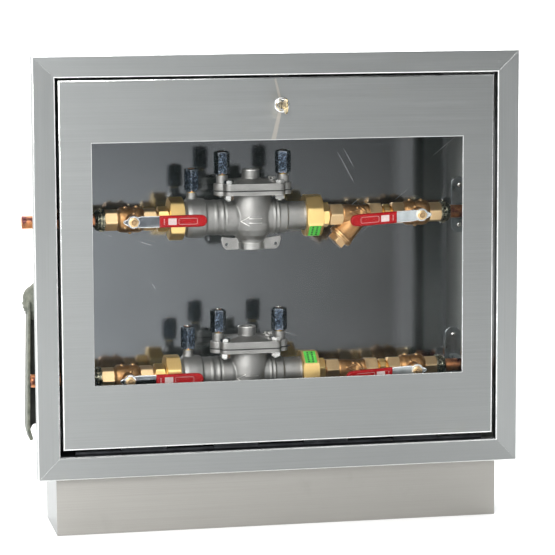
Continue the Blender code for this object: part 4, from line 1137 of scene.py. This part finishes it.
def flange_outline(inset=0.0):
    """Plan of the bolted joint: rounded rectangle with an ear round each test cock."""
    half_x = 36.5 * MM
    front = -31.5 * MM
    back = 34.5 * MM
    corner = 7 * MM - inset
    ear = 12 * MM - inset
    left = AXIS_X - half_x
    right = AXIS_X + half_x
    return (arc(right, front, corner, -90, 0, 5)
            + arc(AXIS_X + COCK_OFFSET, COCK_Y, ear, -90, 90, 16)
            + arc(right, back, corner, 0, 90, 5)
            + arc(left, back, corner, 90, 180, 5)
            + arc(AXIS_X - COCK_OFFSET, COCK_Y, ear, 90, 270, 16)
            + arc(left, front, corner, 180, 270, 5))


# Rings of the cast barrel's skin, (radius, height) in millimetres, from the flange down.
BARREL = ((27.8, 34.5), (29.6, 24), (31.6, 13), (32.8, 2), (32.6, -8), (30.4, -17), (25.6, -25.5),
    (19.8, -31.6))


def on_barrel(x, z):
    """Point on the barrel's front, for marks laid on it, from millimetres across and up."""
    reach = BARREL[-1][0]
    for (upper, high), (lower, low) in zip(BARREL, BARREL[1:]):
        if low <= z <= high:
            reach = lower + (upper - lower) * (z - low) / (high - low)
    depth = math.sqrt((reach * MM) ** 2 - (x * MM - AXIS_X) ** 2)
    return (x * MM, 0.1 * MM - depth, z * MM)


def add_preventer_body():
    """Sand-cast body melted into one skin, with machined ports, nuts and the flow arrow."""
    piece = Piece("rpz_body", "cast_grey", CAST_GREY, MACHINED, BRIGHT, BRASS)
    barrel = turned((0, 34.5), *BARREL, (18.4, -35), (18.4, -46), (0, -46))
    outlet = turned((0, 20), (25, 20), (26.6, 30), (26.4, 44), (25, 46), (26.2, 47), (26.2, 50),
        (25.2, 51.2), (25.2, 56), (26, 57), (26, 60), (25.3, 61), (25.6, 71.5), (28, 73.5), (28.9, 82),
        (28.9, 94), (27.6, 99.6), (24, 102.4), (23.8, 118), (0, 118))
    inlet = turned((0, 14), (25.4, 14), (25.2, 25), (26.2, 26.2), (26.2, 27.8), (24.8, 29),
        (24.8, 30.6), (26, 31.6), (26, 33.2), (24.7, 34.4), (24.4, 45.2), (20.8, 47), (20.8, 71),
        (21.2, 72), (21.2, 90), (0, 90))
    flange = slab(flange_outline(), 33.7 * MM, 39.7 * MM)
    shapes = [moved(barrel, AXIS_X), along_x(outlet, 0.0, -1), along_x(inlet), flange]
    lug_outline = [(14, -25), (24, -30.5), (43, -28), (44, -33), (41, -43), (36.5, -47.2), (14, -47.2)]
    for side in (-1, 1):
        outline = [(AXIS_X + side * x * MM, z * MM) for x, z in lug_outline]
        shapes.append(facing(outline, 0.0, 5 * MM))
    neck = turned((0, 20), (9.5, 20), (8.4, 29), (7.2, 31), (7.2, 36.8), (0, 36.8), steps=40)
    shapes.append(moved(neck, OUT_COCK_X))
    waterway = turned((0, 125), (15, 125), (15, 62), (9.5, 62), (9.5, 58), (15, 58), (15, -58),
        (9.5, -58), (9.5, -62), (19, -62), (19, -125), (0, -125), steps=48)
    chamber = rod(CHAMBER, (AXIS_X, 0, -28 * MM), (AXIS_X, 0, 60 * MM), steps=48)
    port = rod(11 * MM, (AXIS_X, 0, -60 * MM), (AXIS_X, 0, -10 * MM), steps=48)
    cutters = [along_x(waterway), chamber, port]
    for side in (-1, 1):
        x = AXIS_X + side * 36 * MM
        cutters.append(rod(2.6 * MM, (x, -20 * MM, -39.5 * MM), (x, 20 * MM, -39.5 * MM)))
    piece.add(cast(shapes, 0.85 * MM, 3, cutters), 0)

    collar = turned((11, -46.3), (18.2, -46.3), (18.9, -45.6), (18.9, -44.4), (18.5, -44),
        (18.5, -37.6), (18.9, -37.2), (18.9, -36.2), (18.2, -35.6), (11, -35.6), closed=True)
    piece.add(moved(collar, AXIS_X), 1)
    arrow = [(-12.9, 2.6), (-24.2, -4.0), (-12.9, -10.2)]
    for outline in (arrow, [(-12.6, 0.2), (5.6, 0.2)], [(-12.6, -6.2), (5.6, -6.2)]):
        dense = []
        for (x0, z0), (x1, z1) in zip(outline, outline[1:]):
            dense += [on_barrel(x0 + (x1 - x0) * s / 6, z0 + (z1 - z0) * s / 6) for s in range(7)]
        for shape in beads(dense, 0.65 * MM):
            piece.add(shape, 1)
    for side in (-1, 1):
        for depth in BOLT_DEPTHS:
            x = AXIS_X + side * BOLT_OFFSET
            nut = hexagon(7.3, 27.5, 33.9, 0, side * 0.35)
            piece.add(moved(nut, x, depth), 2)
            thread = turned((0, 25.3), (3, 25.3), (3.6, 26), (3.6, 30), (0, 30), steps=24)
            piece.add(moved(thread, x, depth), 2)
    cock = turned((0, 36), (5.4, 36), (5.4, 59), (4.6, 60), (0, 60), steps=32)
    piece.add(moved(cock, OUT_COCK_X), 3)
    piece.place_on_lines("cabinet", "rpz_body_{}")

    gasket = Piece("rpz_gasket", "cast_grey", GASKET_AND_SLOT_SHADE)
    sheet = slab(flange_outline(-0.6 * MM), 39.3 * MM, 41 * MM)
    tab = block((AXIS_X + 55 * MM, COCK_Y - 3 * MM, 39.7 * MM),
        (AXIS_X + 60.5 * MM, COCK_Y + 3 * MM, 40.6 * MM), 0.1 * MM)
    hole = rod(CHAMBER, (AXIS_X, 0, 30 * MM), (AXIS_X, 0, 50 * MM), steps=48)
    gasket.add(cast([sheet], 0.0, 0, [hole]), 0)
    gasket.add(tab, 0)
    gasket.place_on_lines("cabinet")


def add_cover():
    """Bolted cover: raised rim round a recess, four-sided dome with ribs, boss and cocks."""
    piece = Piece("rpz_cover", "cast_grey", CAST_GREY, MACHINED, BRIGHT, BRASS)
    base = slab(flange_outline(), 40.6 * MM, 47.6 * MM)
    outer = slab(flange_outline(), 46 * MM, 50.4 * MM)
    inner = slab(flange_outline(2.6 * MM), 47.6 * MM, 60 * MM)
    rim = cast([outer], 0.0, 0, [inner])
    dome = turned((0, 46), (47, 46), (46, 48.6), (21, 54.8), (0, 54.8), steps=4)
    shapes = [base, rim, moved(spun(dome, math.pi / 4), AXIS_X, 1.5 * MM)]
    shapes.append(rod(12.9 * MM, (AXIS_X, 0, 50 * MM), (AXIS_X, 0, 68.6 * MM), steps=48))
    for side in (-1, 1):
        cock_x = AXIS_X + side * COCK_OFFSET
        shapes.append(rod(8.4 * MM, (cock_x, COCK_Y, 44 * MM), (cock_x, COCK_Y, 62 * MM)))
        for depth in BOLT_DEPTHS:
            x = AXIS_X + side * BOLT_OFFSET
            shapes.append(rod(8 * MM, (x, depth, 44 * MM), (x, depth, 50.4 * MM)))
            shapes += beads([(AXIS_X + side * 11 * MM, depth * 0.36, 54.6 * MM), (x, depth, 50.2 * MM)],
                1.5 * MM)
    chamber = rod(CHAMBER, (AXIS_X, 0, 30 * MM), (AXIS_X, 0, 47 * MM), steps=48)
    socket = rod(8 * MM, (AXIS_X, 0, 60 * MM), (AXIS_X, 0, 80 * MM), steps=48)
    piece.add(cast(shapes, 0.8 * MM, 2, [chamber, socket]), 0)
    lip = turned((8, 67.4), (12.9, 67.4), (12.9, 68.4), (12.3, 68.9), (8.5, 68.9), (8, 68.4),
        closed=True)
    piece.add(moved(lip, AXIS_X), 1)
    for side in (-1, 1):
        cock_x = AXIS_X + side * COCK_OFFSET
        cock = turned((0, 61), (5.4, 61), (5.4, 83), (4.6, 84), (0, 84), steps=32)
        piece.add(moved(cock, cock_x, COCK_Y), 3)
        for depth in BOLT_DEPTHS:
            head = hexagon(7.3, 50.2, 55.6, 0, side * 0.3 + 0.2)
            piece.add(moved(head, AXIS_X + side * BOLT_OFFSET, depth), 2)
    piece.place_on_lines("cabinet", "rpz_cover_{}")


def add_caps():
    """Hammered black-chrome test cock caps, their pale speckles and edges painted highlights, each with
    a rivet head and a copper washer.
    """
    places = (("out", OUT_COCK_X, 0.0, 38.2, 20), ("mid", AXIS_X - COCK_OFFSET, COCK_Y, 63.4, 58),
        ("in", AXIS_X + COCK_OFFSET, COCK_Y, 63.4, 47))
    for name, x, y, low, phase in places:
        piece = Piece(f"test_cap_{name}", "black_chrome", BLACK_CHROME, COPPER, CHROME)
        apothem = 11.8 * MM * math.cos(math.pi / 6)

        def reach(angle):
            flat = apothem / math.cos((angle - math.radians(phase)) % (math.pi / 3) - math.pi / 6)
            return min(flat, 11.45 * MM)

        def drop(angle):
            return (reach(angle) - apothem * 0.96) * 0.7

        rings = [(6.1 * MM, 0.0), (apothem * 0.9, 0.0), (apothem * 0.96, 0.6 * MM),
            (reach, lambda angle: 0.6 * MM + drop(angle))]
        rings += [(reach, share * 33 * MM) for share in (0.1, 0.3, 0.5, 0.7, 0.9)]
        rings += [(reach, lambda angle: 32.4 * MM - drop(angle)), (apothem * 0.96, 32.4 * MM),
            (apothem * 0.86, 33 * MM), (0.0, 33 * MM)]
        shell = lathe(rings, 96)
        bore = turned((6.1, 0), (6.1, 24), (0, 24), steps=48)
        washer = turned((0, 32.9), (4.6, 32.9), (4.8, 33.2), (4.6, 33.5), (0, 33.5), steps=40)
        button = turned((0, 35), (1.8, 34.8), (3, 34.2), (3.4, 33.4), (0, 33.4), steps=40)
        pin = rod(1.1 * MM, *mm((-1, -8, 1.2), (-1.3, -11.4, 1.2)), 0.8 * MM, 16)
        for shape, material in ((shell, 0), (bore, 0), (washer, 1), (button, 2), (pin, 1)):
            piece.add(moved(shape, x, y, low * MM), material)
        piece.place_on_lines(f"cap_{name}_{{}}", f"test_cap_{name}_{{}}")


def add_strainer():
    """Y-strainer casting with its wrench flats, flow mark, nipple, and the screen cap."""
    start = Vector((160 * MM, 0.0, 0.0))
    way = Vector((-1.0, 0.0, -1.0)).normalized()
    piece = Piece("strainer_body", "bronze", CAST_BRONZE, TURNED_BRONZE, BRASS)
    run = turned((0, 112), (14, 112), (13.6, 128), (14.8, 131), (14.6, 139), (13.6, 146), (13, 155),
        (13.4, 162), (14.2, 166), (14.2, 186), (0, 186))
    branch = turned((0, -6), (13.6, -6), (14, 10), (15.4, 26), (16.4, 36), (17.2, 41.5), (18.2, 43),
        (18.2, 47.4), (0, 47.4))
    shapes = [along_x(run), aimed(branch, start, way)]
    for points in ([(141, -13.2, 4.6), (147, -12.0, 5.4), (154.5, -11.0, 7.6)],
                   [(141, -13.2, 4.6), (147, -13.4, 1.0), (154.5, -13.0, -2.4)],
                   [(151, -8.5, 10.2), (158, -12.4, 4.4), (164, -14.0, 0.5)]):
        shapes += beads([Vector(point) * MM for point in points], 1.3 * MM)
    cutters = [rod(9 * MM, (100 * MM, 0, 0), (240 * MM, 0, 0), steps=48),
        rod(12.8 * MM, (100 * MM, 0, 0), (120 * MM, 0, 0), steps=48),
        rod(11.5 * MM, start + way * 14 * MM, start + way * 60 * MM, steps=48)]
    piece.add(cast(shapes, 0.7 * MM, 2, cutters), 0)
    for low, high, bore in ((110.0, 129.6, 12.8), (168.7, 187.1, 9.0)):
        flats = hexagon(17.2, low, high, bore, math.radians(25))
        piece.add(along_x(flats), 1)
    collar = turned((11.6, 41.8), (17.4, 41.8), (18.4, 42.6), (18.5, 44.6), (17.9, 45.2), (18.5, 45.8),
        (18.3, 47.4), (17.4, 48), (11.6, 48), closed=True)
    piece.add(aimed(collar, start, way), 0)
    nipple = turned((9, 186), (10.8, 186), (10.8, 190), (12.6, 190.6), (12.6, 199), (10.8, 199.8),
        (10.8, 202.6), (12.4, 203.4), (12.4, 210), (11.6, 211), (9, 211), closed=True)
    piece.add(along_x(nipple), 2)
    piece.add(along_x(hexagon(14.2, 190.2, 199.4, 11, math.radians(12))), 2)
    piece.place_on_lines("cabinet", "strainer_body_{}")

    cap = Piece("strainer_cap", "bronze", TURNED_BRONZE, DARK_BRONZE)
    cap.add(aimed(hexagon(14.6, 48.3, 58, 0, math.radians(15)), start, way), 1)
    washer = turned((0, 47.8), (16.2, 47.8), (16.4, 48.4), (16, 49.4), (0, 49.4))
    cap.add(aimed(washer, start, way), 0)
    screen = turned((9.4, 17), (10.4, 17), (10.4, 39), (11.1, 39), (11.1, 49), (0, 49), (0, 37),
        (9.4, 37))
    cap.add(aimed(screen, start, way), 0)
    cap.place_on_lines("cabinet", "strainer_cap_{}")


def add_pipes(line):
    """Copper tubes with deburred ends."""
    origin = line_origin(line)
    for end in ("out", "in"):
        low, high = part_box(f"pipe_{end}_{line}")
        piece = Piece(f"copper_pipe_{end}_{line}", "copper", COPPER)
        piece.add(moved(along_x(tube(9.525 * MM, 8.6 * MM, low.x, high.x, 0.3 * MM)), 0.0, origin.y,
            origin.z), 0)
        piece.place("cabinet", f"pipe_{end}_{line}")


def dress_inner_nodes():
    """Carried-over parts inside the castings keep their shape and get their material."""
    for line in LINES:
        for node in (f"check_in_{line}", f"check_out_{line}", f"relief_valve_{line}"):
            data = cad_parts[node].data
            data.materials.clear()
            data.materials.append(INNER)


add_front_frame()
add_shell()
add_door()
add_hinge()
add_window()
add_lock()
add_drain()
add_valve("out", VALVE_OUT_X, -1)
add_valve("in", VALVE_IN_X, 1)
for nut_end in ("out", "in"):
    add_union(nut_end)
add_preventer_body()
add_cover()
add_caps()
add_strainer()
add_label("upper", -46)
add_label("lower", 50.5)
for line_name in LINES:
    add_pipe_clip(line_name)
    add_pipes(line_name)
dress_inner_nodes()


# ---------------------------------------------------------------- studio

CAMERA_YAW = 11.6
CAMERA_PITCH = 7.397
CAMERA_ROLL = -0.27
CAMERA_PLACE = (-0.7246, -3.5584, 0.8273)
CAMERA_LENS = 164.83


def add_camera():
    """Long lens a little above and to the left of the cabinet's front, angles in degrees."""
    yaw, pitch, roll = (math.radians(angle) for angle in (CAMERA_YAW, CAMERA_PITCH, CAMERA_ROLL))
    forward = Vector((math.sin(yaw) * math.cos(pitch), math.cos(yaw) * math.cos(pitch),
        -math.sin(pitch)))
    right = Vector((math.cos(yaw), -math.sin(yaw), 0.0))
    up = right.cross(forward)
    right_rolled = right * math.cos(roll) + up * math.sin(roll)
    up_rolled = up * math.cos(roll) - right * math.sin(roll)
    data = bpy.data.cameras.new("camera")
    data.sensor_width = 36.0
    data.lens = CAMERA_LENS
    data.clip_end = 50.0
    camera = in_scene("camera", data)
    turn = Matrix((right_rolled, up_rolled, -forward)).transposed().to_4x4()
    turn.translation = Vector(CAMERA_PLACE)
    camera.matrix_world = turn
    bpy.context.scene.camera = camera


def add_area(name, place, target, size, watts, color=(1.0, 1.0, 1.0)):
    """Rectangular soft light at a place, turned towards a target."""
    data = bpy.data.lights.new(name, "AREA")
    data.shape = "RECTANGLE"
    data.size, data.size_y = size
    data.energy = watts
    data.color = color
    lamp = in_scene(name, data)
    lamp.location = place
    lamp.rotation_euler = (Vector(target) - Vector(place)).to_track_quat("-Z", "Y").to_euler()


def add_floor():
    """Pale paper floor that curves up far behind the cabinet, with painted shade well in front of it:
    grey, and dark towards the right.
    """
    paper = Graph("studio_paper")
    tone = paper.mix((0.88, 0.88, 0.88), (0.92, 0.92, 0.92), paper.noise(3.0, 2.0))
    # Painted shade: far in front of the cabinet the floor turns grey, and dark towards the right.
    far = paper.mix((0.75, 0.77, 0.78), (0.20, 0.19, 0.18), paper.band(paper.position("X"), 0.3, 2.0))
    tone = paper.mix(far, tone, paper.band(paper.position("Y"), -6.0, -2.0))
    paper.set(Base_Color=tone, Roughness=0.9)
    shape = bmesh.new()
    bend_radius = 1.5
    wall = 5.5
    profile = [(-12.0, 0.0), (wall, 0.0)]
    for step in range(1, 9):
        angle = math.pi / 16 * step
        profile.append((wall + bend_radius * math.sin(angle), bend_radius * (1.0 - math.cos(angle))))
    profile.append((wall + bend_radius, 6.0))
    rows = [[shape.verts.new((x, y, z - 0.0003)) for x in (-9.0, 9.0)] for y, z in profile]
    for first, second in zip(rows, rows[1:]):
        face = shape.faces.new((first[0], first[1], second[1], second[0]))
        face.smooth = True
    mesh = mesh_of(shape, "studio_sweep")
    mesh.materials.append(paper.material)
    in_scene("studio_sweep", mesh)


ROOM_LEFT = 0.82
ROOM_RIGHT = 0.06
ROOM_BACK = 0.95


def add_world():
    """Room light: white behind the cabinet, and in front of it bright at the left, dim at the right."""
    world = bpy.data.worlds.new("studio")
    world.use_nodes = True
    nodes = Nodes(world.node_tree)
    background = nodes.tree.nodes["Background"]
    sky = nodes.node("ShaderNodeTexCoord").outputs["Generated"]
    parts = nodes.node("ShaderNodeSeparateXYZ", {"Vector": sky}).outputs
    front = nodes.band(parts["X"], 0.06, 0.30, ROOM_LEFT, ROOM_RIGHT)
    nodes.feed(background.inputs["Strength"], nodes.band(parts["Y"], -0.25, 0.45, front, ROOM_BACK))
    background.inputs["Color"].default_value = (0.97, 0.985, 1.0, 1.0)
    bpy.context.scene.world = world


def add_lights():
    add_area("key", (-1.9, -2.4, 2.3), (0.0, 0.0, 0.35), (1.6, 1.6), 55.0, (1.0, 0.99, 0.97))
    add_area("front_panel", (-1.7, -4.5, 2.4), (0.0, 0.0, 0.35), (2.6, 1.8), 205.0)
    add_area("fill", (2.6, -2.4, 1.4), (0.0, 0.0, 0.35), (1.2, 1.8), 8.0, (0.95, 0.97, 1.0))
    add_area("top", (0.0, 0.3, 3.0), (0.0, 0.3, 0.0), (2.4, 2.0), 36.0)
    add_area("backdrop_wash", (0.0, 4.0, 5.0), (0.0, 6.0, 0.5), (8.0, 1.5), 700.0)
    bpy.context.scene.view_settings.view_transform = "Standard"


add_camera()
add_floor()
add_world()
add_lights()
